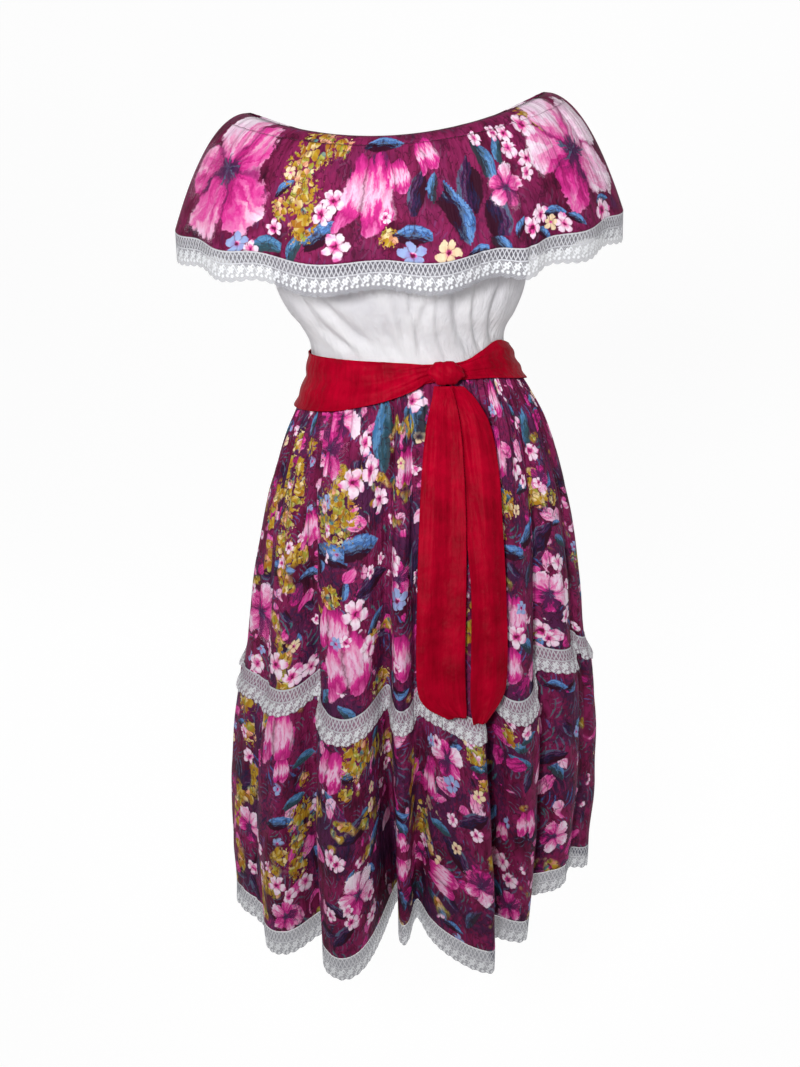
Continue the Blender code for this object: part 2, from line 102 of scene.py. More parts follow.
# Ring sections of the skirt and the bodice. The level is 0 at the waist, 1 at the tier seam and 2 at the hem.
SKIRT_SECTIONS = table(
    "level half_width front back",
    (0.00, 0.1215, 0.0935, 0.0895), (0.05, 0.1300, 0.1010, 0.0970), (0.10, 0.1395, 0.1090, 0.1045),
    (0.20, 0.1550, 0.1240, 0.1200), (0.40, 0.1775, 0.1500, 0.1440), (0.60, 0.1915, 0.1690, 0.1600),
    (0.80, 0.2015, 0.1830, 0.1730), (1.00, 0.2095, 0.1930, 0.1825), (1.09, 0.2180, 0.2020, 0.1905),
    (1.28, 0.2240, 0.2100, 0.1990), (1.65, 0.2270, 0.2170, 0.2050), (2.00, 0.2230, 0.2220, 0.2070),
    (2.15, 0.2220, 0.2230, 0.2075),
)
BODICE_SECTIONS = table(
    "z half_width front back",
    (-0.312, 0.1205, 0.0925, 0.0885), (-0.300, 0.1180, 0.0905, 0.0865), (-0.286, 0.1155, 0.0888, 0.0850),
    (-0.268, 0.1138, 0.0882, 0.0837), (-0.250, 0.1200, 0.0932, 0.0865), (-0.233, 0.1320, 0.1010, 0.0900),
    (-0.205, 0.1440, 0.1090, 0.0940), (-0.160, 0.1520, 0.1150, 0.0960), (-0.100, 0.1600, 0.1165, 0.0985),
    (-0.045, 0.1675, 0.1145, 0.1015), (0.020, 0.1675, 0.1145, 0.1015),
)
UNDERARM_Z = -0.165
ARMHOLE_TOP_DEG = 46
ARMHOLE_ROUND = 0.030
BODICE_RUN = 0.29
BODICE_GATHER = 0.9 * MM
BODY_CENTRE = table(
    "z x",
    (-1.000, 0.018), (-0.360, 0.022), (-0.320, 0.0195), (-0.286, 0.0155), (-0.250, 0.008), (-0.210, 0.0045),
    (-0.100, 0.002), (0.000, 0.000), (0.040, 0.000),
)

# The skirt's folds: a valley is where the cloth goes in, and a ridge the fold between two valleys.
# Angles in degrees at the waist, tier seam and hem. Depths, set-backs and lifts in mm.
Valley = namedtuple("Valley", "waist tier hem tier_depth hem_depth tier_lift hem_lift")
Ridge = namedtuple("Ridge", "tier_set hem_set tier_lift hem_lift lean roundness gathers")
FRONT_VALLEYS = [Valley(*row) for row in (
    (-90, -90, -90, 14, 20, 24, 28), (-74, -62, -62, 12, 16, 15, 10), (-57, -39, -38, 38, 50, 42, 20),
    (-14, -11, -9.5, 50, 118, 30, 42), (-1, 2.0, 2.5, 38, 84, 28, 36), (42, 26, 32, 44, 62, 42, 16),
    (60, 53, 51, 38, 54, 62, 50), (76, 72, 71, 14, 18, 68, 70),
)]
FRONT_RIDGES = [Ridge(*row) for row in (
    (0, 0, 20, 20, 0.0, 0.5, 4), (0, 4, 18, -2, 0.0, 0.65, 5), (0, 0, 0, -5, -0.04, 0.6, 9),
    (20, 52, 8, 18, 0.0, 0.2, 2), (0, 0, 2, 2, -0.34, 0.6, 9), (6, 16, 12, 18, 0.1, 0.5, 5),
    (4, 12, 56, 64, 0.0, 0.6, 3), (0, 0, 54, 64, 0.0, 0.5, 2),
)]
RIGHT_SEAM = Valley(90, 90, 90, 14, 20, 50, 60)
BACK_FOLDS = 7
BACK_TIER_DEPTH = 28
BACK_HEM_DEPTH = 42
BACK_DEPTH_SWING = 9
BACK_ANGLE_SWING = 3.5
BACK_SWING_STEP = 2.4
BACK_GATHERS = 6

# The ruffle's waves, in mm: how far in the cloth lies at each angle, and how far it sags up to the next.
RUFFLE_WAVES = table(
    "angle depth sag",
    (-90, 3, 0), (-62, 5, 4), (-38, 8, 5), (-5, 9, 6), (25, 10, 5), (41, 7, 4), (66, 5, 3), (90, 3, 0),
    (118, 6, 4), (147, 9, 5), (180, 8, 5), (212, 9, 4), (242, 6, 4), (270, 3, 0),
)

# The sash: Z of the band's edges round the waist, then X of each end's edges at depths below the neckline.
SASH_EDGES = table(
    "angle top bottom",
    (-180, -0.280, -0.337), (-90, -0.281, -0.344), (-45, -0.280, -0.338), (-20, -0.280, -0.326),
    (0, -0.281, -0.311), (8, -0.282, -0.3025), (30, -0.280, -0.300), (46, -0.270, -0.301),
    (64, -0.262, -0.305), (90, -0.271, -0.312), (135, -0.278, -0.328), (180, -0.280, -0.337),
)
SASH_STAND_OFF = 1.3 * MM
SASH_WALL = 1.6 * MM
SASH_TUCK = 0.25
SASH_CREASES = 2.5
SASH_CREASE = 0.9 * MM
SASH_FINE_CREASE = 0.35 * MM
SASH_RUN = 0.06
KNOT_X = 0.055
KNOT_Z = -0.290
KNOT_HALF = (0.0225, 0.0105, 0.0145)
KNOT_GROOVE = 0.05
KNOT_FINE_GROOVE = 0.015
KNOT_BOTTOM = KNOT_HALF[2] - KNOT_Z + SEAM
NEAR_TAIL = table(
    "down left right",
    (KNOT_BOTTOM, 0.042, 0.061), (0.318, 0.040, 0.066), (0.350, 0.033, 0.072), (0.400, 0.028, 0.076),
    (0.460, 0.025, 0.078), (0.530, 0.023, 0.078), (0.600, 0.022, 0.077), (0.640, 0.025, 0.078),
    (0.655, 0.036, 0.079), (0.667, 0.058, 0.079),
)
FAR_TAIL = table(
    "down left right",
    (KNOT_BOTTOM, 0.0615, 0.075), (0.318, 0.0640, 0.088), (0.350, 0.0690, 0.106), (0.400, 0.0730, 0.116),
    (0.460, 0.0780, 0.120), (0.530, 0.0840, 0.124), (0.600, 0.0840, 0.126), (0.640, 0.0835, 0.124),
    (0.656, 0.0840, 0.117), (0.676, 0.0870, 0.102),
)
TAIL_STAND_OFF = 2.2 * MM
TAIL_RIPPLE = 2.2 * MM
TAIL_RIPPLES = 2.6
TAIL_FINE_RIPPLE = 0.5 * MM
TAIL_EASE = 0.05
FAR_TAIL_TUCK = 5 * MM
NEAR_TAIL_WIDTH = 0.054
FAR_TAIL_WIDTH = 0.042

# Creases that the solids leave out, with widths and depths in mm where a row gives no share.
# On a sash end each runs from one share of its width and drop to another, and its width is a share too.
NEAR_CREASES = table(
    "across down to_across to_down width depth",
    (0.78, 0.320, 0.66, 0.470, 0.09, 1.6), (0.20, 0.340, 0.16, 0.560, 0.08, 1.8),
    (0.46, 0.480, 0.55, 0.630, 0.10, 1.2),
)
FAR_CREASES = table(
    "across down to_across to_down width depth",
    (0.12, 0.325, 0.62, 0.480, 0.09, 2.0), (0.72, 0.340, 0.88, 0.420, 0.07, 1.2),
    (0.30, 0.520, 0.36, 0.640, 0.10, 1.2),
)
# On the bodice each runs from one X and Z to another.
BODICE_CREASES = table(
    "x z to_x to_z width depth",
    (-0.125, -0.130, -0.045, -0.215, 8, 6.1), (-0.120, -0.165, -0.040, -0.262, 7, 5.4),
    (-0.116, -0.200, -0.062, -0.270, 6, 4.7), (-0.095, -0.130, -0.030, -0.182, 7, 4.0),
    (0.000, -0.140, 0.006, -0.262, 5, 4.0), (0.018, -0.160, 0.022, -0.275, 4, 3.6),
    (0.036, -0.205, 0.014, -0.276, 5, 3.2), (0.074, -0.150, 0.066, -0.262, 6, 4.7),
    (0.096, -0.165, 0.084, -0.270, 4, 3.6), (0.050, -0.175, 0.044, -0.280, 4, 2.9),
    (0.118, -0.190, 0.100, -0.262, 5, 4.0), (-0.018, -0.225, -0.008, -0.280, 4, 2.5),
)
# Long soft folds down the ruffle, each with the share of the drop where it ends.
RUFFLE_TUCKS = table(
    "angle width depth end",
    (-70, 5, 2.6, 0.55), (-52, 4, 2.4, 0.70), (-31, 4, 2.2, 0.50), (-20, 3, 2.0, 0.60), (-3, 4, 3.0, 1.00),
    (9, 3, 1.8, 0.55), (21, 3, 2.8, 1.00), (34, 4, 3.6, 1.00), (52, 4, 2.4, 0.80), (68, 5, 2.6, 0.60),
    (112, 4, 2.4, 0.80), (138, 4, 3.0, 1.00), (158, 3, 2.2, 0.60), (183, 4, 3.0, 1.00), (201, 3, 2.4, 0.70),
    (224, 4, 3.2, 1.00), (250, 4, 2.4, 0.60),
)


def mix(a, b, share):
    return a + (b - a) * share


def smooth(share):
    share = np.clip(share, 0.0, 1.0)
    return share * share * (3 - 2 * share)


def bump(offset):
    """A rounded hill that is 1 in the middle and has faded by about 2 each side."""
    return np.exp(-offset * offset)


def read(rows, at, column):
    """A table's column at values of its first column, on a smooth curve through the rows."""
    keys = np.array([row[0] for row in rows], float)
    values = np.array([getattr(row, column) for row in rows], float)
    at = np.clip(at, keys[0], keys[-1])
    slopes = np.gradient(values) / np.gradient(keys)
    i = np.clip(np.searchsorted(keys, at, side="right") - 1, 0, len(keys) - 2)
    span = keys[i + 1] - keys[i]
    t = (at - keys[i]) / span
    near = (1 + 2 * t) * (1 - t) ** 2 * values[i] + t * (1 - t) ** 2 * span * slopes[i]
    far = t * t * (3 - 2 * t) * values[i + 1] + t * t * (t - 1) * span * slopes[i + 1]
    return near + far


def ring_sizes(sections, at):
    """A ring section's half width, front and back."""
    return [read(sections, at, name) for name in ("half_width", "front", "back")]


def centre_x(z):
    return read(BODY_CENTRE, z, "x")


def ring(angle, half_width, front, back, inset=0.0):
    """X and Y on an oval section, the given distance inside it. The angle is in degrees."""
    turn = np.radians(angle)
    depth = np.where(np.cos(turn) > 0, front, back)
    return (half_width - inset) * np.sin(turn), -(depth - inset) * np.cos(turn)


def neck_z(angle):
    turn = np.radians(angle)
    middle = np.where(np.cos(turn) > 0, NECK_FRONT_Z, NECK_BACK_Z)
    return mix(middle, NECK_SIDE_Z, np.sin(turn) ** 2) + NECK_TILT * np.sin(turn)


def waist_z(angle):
    return WAIST_Z + WAIST_TILT * np.sin(np.radians(angle))


def back_folds():
    """The back's valleys and ridges: even folds from one side seam to the other, each a little different."""
    first, last = RIGHT_SEAM, FRONT_VALLEYS[0]
    valleys = [first]
    for i in range(1, BACK_FOLDS):
        share = i / BACK_FOLDS
        swing = math.sin(BACK_SWING_STEP * i)
        angle = 90 + 180 * share
        turned = angle + BACK_ANGLE_SWING * swing
        depth = BACK_DEPTH_SWING * swing
        valleys.append(Valley(
            angle, turned, turned, BACK_TIER_DEPTH + depth, BACK_HEM_DEPTH + depth,
            mix(first.tier_lift, last.tier_lift, share), mix(first.hem_lift, last.hem_lift, share)))
    ridges = []
    for i, left in enumerate(valleys):
        right = valleys[i + 1] if i + 1 < len(valleys) else last
        tier_lift = (left.tier_lift + right.tier_lift) / 2
        hem_lift = (left.hem_lift + right.hem_lift) / 2
        ridges.append(Ridge(0, 0, tier_lift, hem_lift, 0.0, 0.5, BACK_GATHERS))
    return valleys, ridges


BACK_VALLEYS, BACK_RIDGES = back_folds()
VALLEYS = list(FRONT_VALLEYS) + BACK_VALLEYS
RIDGES = list(FRONT_RIDGES) + BACK_RIDGES
VALLEY_COLUMNS = {name: np.array([getattr(row, name) for row in VALLEYS], float) for name in Valley._fields}
RIDGE_COLUMNS = {name: np.array([getattr(row, name) for row in RIDGES], float) for name in Ridge._fields}
GATHERS_BEFORE = np.concatenate([[0.0], np.cumsum(RIDGE_COLUMNS["gathers"])])


def turn_between(start, end, share):
    """An angle part of the way from one to another that is further round."""
    return start + ((end - start) % 360) * share


def skirt_gathers(fold, level):
    """How far in the cloth lies at its fine gathers: sharp valleys between round ridges, unevenly spaced."""
    i = np.clip(np.floor(fold).astype(int), 0, len(RIDGES) - 1)
    count = GATHERS_BEFORE[i] + RIDGE_COLUMNS["gathers"][i] * (fold - i)
    uneven = count + 0.16 * np.sin(2.1 * count + 0.4) + 0.10 * np.sin(3.7 * count)
    valley = 1 - np.abs(np.cos(math.pi * uneven)) ** 0.75
    fine = 1 - np.abs(np.cos(math.pi * (1.83 * uneven + 0.3 * np.sin(count)))) ** 0.8
    size = 0.72 + 0.28 * np.sin(1.37 * count + 0.5)
    upper, lower = np.clip(level, 0.0, 1.0), np.clip(level - 1.0, 0.0, None)
    reach = 0.62 + 0.38 * np.sin(2.9 * count + 1.0)
    at_waist = np.clip(1 - upper / (0.70 + 0.45 * reach), 0, 1) ** 1.1
    waist = WAIST_GATHER * valley * size * at_waist
    waist += WAIST_FINE_GATHER * fine * np.clip(1 - upper / 0.55, 0, 1) ** 1.2
    seam = np.sin(math.pi * np.minimum(1.0, 2.0 * lower / (0.7 + 0.5 * reach)))
    tier = TIER_GATHER * valley * size * np.maximum(0.0, seam)
    tier += TIER_FINE_GATHER * fine * np.clip(1 - lower / 0.35, 0, 1) * smooth(lower / 0.02)
    return np.where(level <= 1.0, waist, tier)


def skirt_ripples(fold, level):
    """Soft long creases that wander down the folds, and a slight unevenness of the cloth."""
    drift = fold * 5.1 + 0.8 * np.sin(3.1 * level + fold)
    long_crease = np.abs(np.sin(math.pi * drift * 0.73)) ** 9 * smooth(level / 0.35)
    slant = np.sin(19 * level + 3.3 * fold) * np.sin(7.7 * fold + 2.0 * level)
    return LONG_CREASE * long_crease + SLANTING_CREASE * slant * smooth(level / 0.2)


def skirt_point(fold, level):
    """A point of the skirt's outer face: fold counts folds from a side seam, level runs down the cloth."""
    i = np.clip(np.floor(fold).astype(int), 0, len(RIDGES) - 1)
    j = (i + 1) % len(VALLEYS)
    t = fold - i
    left = {name: values[i] for name, values in VALLEY_COLUMNS.items()}
    right = {name: values[j] for name, values in VALLEY_COLUMNS.items()}
    ridge = {name: values[i] for name, values in RIDGE_COLUMNS.items()}
    upper, lower = np.clip(level, 0.0, 1.0), np.clip(level - 1.0, 0.0, None)

    full = smooth(level / FOLDS_FULL)
    swing = ridge["roundness"] * np.sin(2 * math.pi * t) - FOLD_UPRIGHT * np.sin(4 * math.pi * t) / 2
    around = t - full * swing / (2 * math.pi)
    leaned = t + ridge["lean"] * np.sin(math.pi * t) ** 2 / 2
    out = (1 - np.cos(2 * math.pi * leaned)) / 2

    at_waist = turn_between(left["waist"], right["waist"], around)
    at_tier = turn_between(left["tier"], right["tier"], around)
    at_hem = turn_between(left["hem"], right["hem"], around)
    angle = mix(at_waist, at_tier, upper ** 0.6)
    angle = np.where(lower > 0, mix(at_tier, at_hem, np.minimum(lower, 1.0)), angle)

    left_depth = mix(left["tier_depth"], left["hem_depth"], lower)
    right_depth = mix(right["tier_depth"], right["hem_depth"], lower)
    valley_depth = mix(left_depth, right_depth, smooth(t))
    ridge_depth = mix(ridge["tier_set"], ridge["hem_set"], lower)
    depth = mix(valley_depth, ridge_depth, out) * upper ** 0.85 * MM
    depth = depth + skirt_gathers(fold, level) + skirt_ripples(fold, level)

    tier_z = TIER_Z + mix(mix(left["tier_lift"], right["tier_lift"], smooth(t)), ridge["tier_lift"], out) * MM
    hem_z = HEM_Z + mix(mix(left["hem_lift"], right["hem_lift"], smooth(t)), ridge["hem_lift"], out) * MM
    z = np.where(level <= 1.0, mix(waist_z(angle), tier_z, level), mix(tier_z, hem_z, lower))
    x, y = ring(angle, *ring_sizes(SKIRT_SECTIONS, level), inset=depth)
    return x + centre_x(z), y, z


def neck_cloth(angle, drop):
    """A point of the casing's or the ruffle's outer face, at an angle and this far below the neckline."""
    angle = (angle + 90) % 360 - 90
    keys, depths, sags = np.array(RUFFLE_WAVES, float).T
    i = np.clip(np.searchsorted(keys, angle, side="right") - 1, 0, len(keys) - 2)
    t = (angle - keys[i]) / (keys[i + 1] - keys[i])
    crest = np.sin(math.pi * t) ** 2
    down = np.clip((drop - CASING_HEIGHT) / RUFFLE_DROP, 0.0, None)
    wave = mix(depths[i], depths[i + 1], smooth(t)) * (1 - crest) * down ** 1.5 * MM
    sag = mix(sags[i], sags[i + 1], smooth(t)) * crest * down ** 2 * MM
    held = np.clip(drop / CASING_HEIGHT, 0.0, 1.0)
    count = RUFFLE_GATHERS * (angle + 90) / 180
    uneven = count + 0.2 * np.sin(1.9 * count) + 0.1 * np.sin(4.3 * count + 1)
    gather = 1 - np.abs(np.cos(math.pi * uneven)) ** 0.8
    gather = gather * (0.75 + 0.25 * np.sin(2.7 * count)) * mix(CASING_GATHER, NECK_GATHER, held)
    gather = gather * np.clip(1 - down / (0.75 + 0.25 * np.sin(1.3 * count)), 0.0, None) ** 1.5
    for tuck in RUFFLE_TUCKS:
        away = (angle - tuck.angle) * np.radians(1) * RUFFLE_RADIUS / (tuck.width * MM)
        run = smooth(down / 0.08) * smooth((tuck.end - down) / 0.3 + (1 if tuck.end == 1.0 else 0))
        gather = gather + tuck.depth * MM * bump(away) * run
    spread = np.clip(drop / (CASING_HEIGHT + RUFFLE_DROP), 0.0, 1.0) ** RUFFLE_CURVE
    x, y = ring(
        angle,
        NECK_HALF_WIDTH + RUFFLE_SIDE_FLARE * spread,
        NECK_FRONT + RUFFLE_FRONT_FLARE * spread,
        NECK_BACK + RUFFLE_BACK_FLARE * spread,
        inset=wave + gather)
    z = neck_z(angle) - drop - sag
    return x + centre_x(z), y, z


def bodice_reach(z):
    """How far round a bodice panel reaches from its middle, in degrees: less above the underarm."""
    return mix(90, ARMHOLE_TOP_DEG, smooth((z - UNDERARM_Z) / ARMHOLE_ROUND / 2))


def bodice_creases(x, z, turned):
    """How far in the bodice lies at its creases. turned is -1 where they run the other way round."""
    inset = 0.0
    for crease in BODICE_CREASES:
        x0, x1 = turned * crease.x, turned * crease.to_x
        run_x, run_z = x1 - x0, crease.to_z - crease.z
        length = math.hypot(run_x, run_z)
        along = ((x - x0) * run_x + (z - crease.z) * run_z) / length ** 2
        away = ((x - x0) * run_z - (z - crease.z) * run_x) / length
        bow = 0.06 * length * np.sin(math.pi * np.clip(along, 0, 1))
        ends = smooth(along / 0.3 + 0.2) * smooth((1 - along) / 0.25 + 0.4)
        place = (away - bow) / (crease.width * MM)
        inset = inset + crease.depth * MM * ends * (bump(place) - 0.5 * bump(place - 2))
    return inset


def bodice_point(side, across, level):
    """A point of a bodice panel's outer face; side is -1 for the front panel and 1 for the back one."""
    middle = 0 if side < 0 else 180
    about = mix(neck_z(middle + ARMHOLE_TOP_DEG * across), waist_z(middle + 90 * across), level)
    angle = middle + across * bodice_reach(about)
    top = neck_z(angle) - CASING_WALL - BODICE_SEAM
    z = mix(top, waist_z(angle) + WAIST_SEAM, level)
    x, y = ring(angle, *ring_sizes(BODICE_SECTIONS, z))
    held = smooth((1 - np.abs(across)) / 0.12) * smooth((1 - level) / 0.06)
    inset = bodice_creases(x, z, -side) * held
    inset = inset + BODICE_GATHER * np.abs(np.sin(60 * x + 14 * z)) ** 6 * smooth((-0.20 - z) / 0.08) * held
    x, y = ring(angle, *ring_sizes(BODICE_SECTIONS, z), inset=inset)
    return x + centre_x(z), side * np.maximum(SEAM / 2, side * y), z


def under_sash(angle, z):
    """The ring section of what the sash is tied over."""
    above = z - waist_z(angle)
    level = np.maximum(0.0, -above / UPPER_LENGTH)
    pairs = zip(ring_sizes(SKIRT_SECTIONS, level), ring_sizes(BODICE_SECTIONS, np.maximum(z, WAIST_Z)))
    return [np.maximum(skirt - SASH_TUCK * np.maximum(0.0, above), body) for skirt, body in pairs]


def sash_point(angle, share):
    """A point of the sash's outer face; share runs from its top edge down."""
    angle = (angle + 180) % 360 - 180
    z = mix(read(SASH_EDGES, angle, "top"), read(SASH_EDGES, angle, "bottom"), share)
    slow = 0.35 * np.sin(np.radians(2.3 * angle + 20)) + 0.2 * np.sin(np.radians(5.1 * angle))
    crease = SASH_CREASE * (1 - np.cos(2 * math.pi * (SASH_CREASES * share + slow)))
    fine = SASH_FINE_CREASE * np.sin(2 * math.pi * (6.5 * share + 1.7 * slow))
    fine = fine * smooth(1 - np.abs(angle - 30) / 70)
    x, y = ring(angle, *under_sash(angle, z), inset=-(SASH_STAND_OFF + SASH_WALL + crease + fine))
    return x + centre_x(z), y, z


def skirt_front_y(x, z):
    """Y of the skirt's outermost face at a place seen from the front."""
    level = np.where(z < TIER_Z, 1 + (TIER_Z - z) / LOWER_LENGTH, (WAIST_Z - z) / UPPER_LENGTH)
    across = np.minimum(0.98, np.abs(x - centre_x(z)) / read(SKIRT_SECTIONS, level, "half_width"))
    return -read(SKIRT_SECTIONS, level, "front") * np.sqrt(1 - across ** 2)


def knot_middle_y():
    """Y of the knot's middle: it lies on the sash's front."""
    half_width = under_sash(0, np.array(KNOT_Z))[0]
    angle = np.degrees(np.arcsin((KNOT_X - centre_x(KNOT_Z)) / half_width))
    return sash_point(angle, 0.5)[1] - 2 * SASH_CREASE - SEAM - KNOT_HALF[1]


def tail_point(rows, creases, phase, tucked, across, down):
    """A point of a sash end's front face: across runs over its width, down is how far below the knot.

    tucked is how far back its left edge lies where it passes behind the other end.
    """
    z = -down
    x = mix(read(rows, down, "left"), read(rows, down, "right"), across)
    free = smooth((down - rows[0].down) / TAIL_EASE)
    bend = 0.12 * np.sin(9 * down + 5 * phase)
    ripple = TAIL_RIPPLE * np.sin(math.pi * (TAIL_RIPPLES * (across + bend) + phase))
    fine = TAIL_FINE_RIPPLE * np.sin(2 * math.pi * (4.3 * across + 2.0 * bend + phase))
    fine = fine * smooth(1 - (down - 0.3) / 0.22)
    hanging = skirt_front_y(x, z) - TAIL_STAND_OFF - TAIL_RIPPLE - SASH_WALL - ripple - fine * free
    behind = tucked * smooth(1 - across / 0.35) * smooth((0.52 - down) / 0.06)
    for crease in creases:
        along = (down - crease.down) / (crease.to_down - crease.down)
        ends = smooth(along / 0.2 + 0.3) * smooth((1 - along) / 0.3)
        away = (across - mix(crease.across, crease.to_across, along ** 2 * np.sign(along))) / crease.width
        behind = behind + crease.depth * MM * ends * bump(away) * free
    return x, mix(knot_middle_y() - SASH_WALL / 2, hanging, free) + behind, z


def out_from(point, distance, column_step, row_step):
    """The same surface moved straight out; distance may be worked out from the column and row."""
    def moved(column, row):
        right = np.array(point(column + column_step, row))
        left = np.array(point(column - column_step, row))
        below = np.array(point(column, row + row_step))
        above = np.array(point(column, row - row_step))
        normal = np.cross((below - above).T, (right - left).T)
        normal /= np.linalg.norm(normal, axis=1, keepdims=True)
        return tuple((np.array(point(column, row)).T + normal * np.reshape(distance(column, row), (-1, 1))).T)
    return moved


# The print's large motifs by kind; each kind has a UV map of this name.
LAYERS = ("bloom", "cluster", "leaf", "blossom")


def new_piece(name, form):
    """An object from a bmesh, smoothly shaded, in the scene."""
    mesh = bpy.data.meshes.new(name)
    form.to_mesh(mesh)
    form.free()
    mesh.shade_smooth()
    return put(bpy.data.objects.new(name, mesh))


def put(thing):
    """Puts an object into the scene."""
    bpy.context.scene.collection.objects.link(thing)
    return thing


def run_length(point, columns, rows):
    """How far along the cloth each place lies, where either the columns or the rows are one value."""
    columns, rows = np.broadcast_arrays(np.asarray(columns, float), np.asarray(rows, float))
    places = np.array(point(columns, rows))
    steps = np.linalg.norm(np.diff(places, axis=1), axis=0)
    return np.concatenate([[0.0], np.cumsum(steps)])


def cloth(name, columns, rows, point, across, down, closed=False, side=0):
    """A sheet of faces laid on a surface, with the flat cloth's own sizes in its UV map.

    across and down are how far each column and row lies along the flat cloth. side is -1 for a front
    half and 1 for a back half, whose end columns lie on the side seams.
    """
    columns, rows = np.asarray(columns, float), np.asarray(rows, float)
    form = bmesh.new()
    bmesh.ops.create_grid(form, x_segments=len(columns) - 1, y_segments=len(rows) - 1, size=0.5)
    piece = new_piece(name, form)
    mesh = piece.data
    flat = np.empty(3 * len(mesh.vertices))
    mesh.vertices.foreach_get("co", flat)
    flat = flat.reshape(-1, 3)
    i = np.rint((flat[:, 0] + 0.5) * (len(columns) - 1)).astype(int)
    j = np.rint((0.5 - flat[:, 1]) * (len(rows) - 1)).astype(int)
    x, y, z = point(columns[i], rows[j])
    if side:
        y = np.where((i == 0) | (i == len(columns) - 1), side * SEAM / 2, y)
    mesh.vertices.foreach_set("co", np.column_stack([x, y, z]).ravel())
    corners = np.empty(len(mesh.loops), int)
    mesh.loops.foreach_get("vertex_index", corners)
    spread = np.column_stack([np.asarray(across)[i], np.asarray(down)[j]])[corners]
    mesh.uv_layers.new(name="cloth").data.foreach_set("uv", spread.ravel())
    if closed:
        form = bmesh.new()
        form.from_mesh(mesh)
        bmesh.ops.remove_doubles(form, verts=form.verts, dist=0.01 * MM)
        form.to_mesh(mesh)
        form.free()
    return piece, spread


def lay_print(piece, spread, chart_rows):
    """Gives each face the nearest motif of each layer, as that motif's own coordinates."""
    mesh = piece.data
    starts, counts = np.empty(len(mesh.polygons), int), np.empty(len(mesh.polygons), int)
    mesh.polygons.foreach_get("loop_start", starts)
    mesh.polygons.foreach_get("loop_total", counts)
    middles = np.add.reduceat(spread, starts, axis=0) / counts[:, None]
    tones = np.zeros((len(spread), 4))
    for k, layer in enumerate(LAYERS):
        motifs = np.array(chart_rows[layer], float)
        places, reach = motifs[:, :2] * MM, motifs[:, 2] * MM
        gaps = middles[:, None, :] - places[None, :, :]
        nearest = np.repeat(np.argmin(np.linalg.norm(gaps, axis=2) / reach, axis=1), counts)
        turns = np.radians(motifs[nearest, 3])
        offset = (spread - places[nearest]) / reach[nearest][:, None]
        own = np.column_stack([
            np.cos(turns) * offset[:, 0] - np.sin(turns) * offset[:, 1],
            -np.sin(turns) * offset[:, 0] - np.cos(turns) * offset[:, 1]])
        mesh.uv_layers.new(name=layer).data.foreach_set("uv", own.ravel())
        tones[:, k] = motifs[nearest, 4]
    mesh.attributes.new("tones", "FLOAT_COLOR", "CORNER").data.foreach_set("color", tones.ravel())


class Wire:
    """A shader socket that takes part in plain Python sums."""

    def __init__(self, finish, socket):
        self.finish, self.socket = finish, socket

    def __add__(self, other):
        return self.finish.maths("ADD", self, other)

    def __sub__(self, other):
        return self.finish.maths("SUBTRACT", self, other)

    def __rsub__(self, other):
        return self.finish.maths("SUBTRACT", other, self)

    def __mul__(self, other):
        return self.finish.maths("MULTIPLY", self, other)

    def __truediv__(self, other):
        return self.finish.maths("DIVIDE", self, other)

    def __pow__(self, other):
        return self.finish.maths("POWER", self, other)

    def __abs__(self):
        return self.finish.maths("ABSOLUTE", self)

    __radd__ = __add__
    __rmul__ = __mul__


